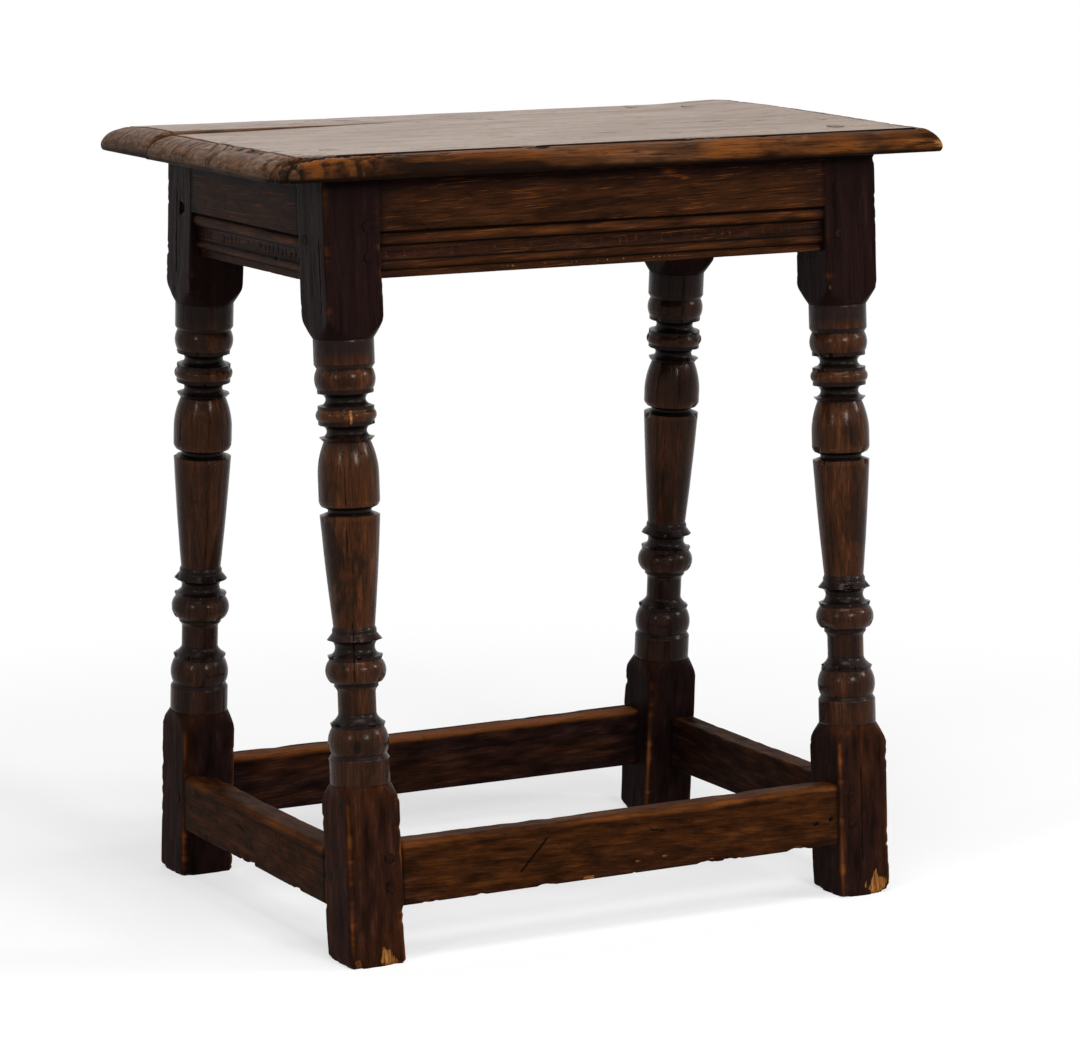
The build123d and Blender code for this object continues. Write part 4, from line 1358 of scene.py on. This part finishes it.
for end_name, end in ends.items():
    rail_places = [
        end_face(end, side, end_rail_peg_height, upper_block_width)
        for side in sides.values()
    ]
    low_places = [
        end_face(end, side, end_stretcher_peg_height, lower_block_width)
        for side in sides.values()
    ]
    sunken = None
    if end == LEFT:
        sunken = 1
        centre, axis = rail_places[sunken]
        rail_places[sunken] = (centre + sunk_peg_shift, axis)
    peg_group(f"cleft_pegs_rail_{end_name}", rail_places, 261 + end, sunken=sunken, shade=1.1)
    peg_group(f"cleft_pegs_stretcher_{end_name}", low_places, 291 + end, shade=0.8)

seat_top = seat_underside + board_thickness
seat_peg_x = leg_x + 4.0
seat_peg_y = frame_depth / 2 - 4.0
seat_peg_places = [
    (np.array([end * seat_peg_x, side * seat_peg_y, seat_top - 0.15]), (0, 0, 1))
    for end in ends.values() for side in sides.values()
]
peg_group("cleft_seat_pegs", seat_peg_places, 321, shade=0.5, radius=seat_peg_radius, material=seat_peg_oak)


# --- stage ------------------------------------------------------------------------------------

def seen_ray(s):
    """1 for a ray from the camera, a reflection or glass, which sees the pale set; 0 for the rest."""
    path = s.node("ShaderNodeLightPath").outputs
    seen = s.greater(path["Is Camera Ray"], path["Is Glossy Ray"])
    return s.greater(seen, path["Is Transmission Ray"])


def make_floor():
    """Pale floor that keeps the stool's shadow and turns to white away from it."""
    bpy.ops.mesh.primitive_circle_add(vertices=96, radius=floor_radius, fill_type="NGON")
    floor = bpy.context.object
    floor.name = "floor"
    material, s = new_material("floor_pale")
    position = s.node("ShaderNodeNewGeometry").outputs["Position"]
    away = s.node("ShaderNodeVectorMath", {0: position}, operation="LENGTH").outputs["Value"]
    edge = s.ranged(away, floor_radius * 0.5, floor_radius * 0.97)
    glow = s.total((edge, 1 - floor_glow), plus=floor_glow)
    tint = s.mix(edge, lit_grey, unlit)
    own = s.node("ShaderNodeBsdfDiffuse", {"Color": tint}).outputs["BSDF"]
    light = s.node("ShaderNodeEmission", {"Color": white, "Strength": glow}).outputs["Emission"]
    shown = s.node("ShaderNodeAddShader", {0: own, 1: light}).outputs["Shader"]
    plain = s.node("ShaderNodeBsdfDiffuse", {"Color": plain_grey}).outputs["BSDF"]
    both = s.node("ShaderNodeMixShader", {0: seen_ray(s), 1: plain, 2: shown}).outputs["Shader"]
    s.node("ShaderNodeOutputMaterial", {"Surface": both})
    floor.data.materials.append(material)


def make_world():
    """White backdrop all round, which gives the object no more than an even grey light."""
    world = bpy.data.worlds.new("studio")
    bpy.context.scene.world = world
    world.use_nodes = True
    s = Shader(world.node_tree)
    strength = s.greater(seen_ray(s), room_light)
    background = s.node("ShaderNodeBackground", {"Color": white, "Strength": strength})
    s.node("ShaderNodeOutputWorld", {"Surface": background.outputs["Background"]})


def aimed(name, data, target, azimuth, elevation, distance):
    """Lamp or camera that looks at a target; azimuth 0 is straight in front of it."""
    thing = bpy.data.objects.new(name, data)
    bpy.context.scene.collection.objects.link(thing)
    turned, raised = radians(azimuth), radians(elevation)
    away = Vector((sin(turned) * cos(raised), -cos(turned) * cos(raised), sin(raised)))
    thing.location = target + away * distance
    thing.rotation_mode = "QUATERNION"
    thing.rotation_quaternion = (-away).to_track_quat("-Z", "Y")
    return thing


def soft_box(name, azimuth, elevation, distance, size, watts):
    """Soft lamp that looks at the middle of the stool."""
    data = bpy.data.lights.new(name, "AREA")
    data.shape = "RECTANGLE"
    data.size, data.size_y = size
    data.energy = watts
    aimed(name, data, lamp_target, azimuth, elevation, distance)


camera_azimuth = -28.62
camera_elevation = 10.13
camera_distance = 3.154389
camera_target = Vector((0.016351, 0, 0.261751))
sensor_width = 36.0
image_width = 1080
focal_pixels = 4271.0


def make_camera():
    """Camera at the angle and distance that were fitted to the edges in the photo."""
    data = bpy.data.cameras.new("camera")
    data.sensor_width = sensor_width
    data.lens = focal_pixels / image_width * sensor_width
    data.clip_end = 100
    camera = aimed("camera", data, camera_target, camera_azimuth, camera_elevation, camera_distance)
    bpy.context.scene.camera = camera


lamp_target = Vector((0, 0, 0.3))
room_light = 0.2
floor_radius = 1.05
floor_glow = 0.6
white = (1, 1, 1, 1)
unlit = (0, 0, 0, 1)
lit_grey = (0.38, 0.38, 0.38, 1)        # floor near the stool, as the camera sees the lamps light it
plain_grey = (0.5, 0.5, 0.5, 1)         # floor as the stool is lit by it

make_floor()
make_world()
soft_box("left_box", -62, 20, 2.4, (0.2, 0.5), 9)
soft_box("front_box", 2, 24, 2.4, (0.5, 0.45), 26)
soft_box("right_box", 58, 26, 2.4, (0.4, 0.45), 17)
soft_box("top_box", -20, 72, 2.2, (1.2, 0.9), 28)
soft_box("back_box", 160, 40, 2.6, (1.0, 0.8), 9)
make_camera()
bpy.context.scene.view_settings.view_transform = "Standard"
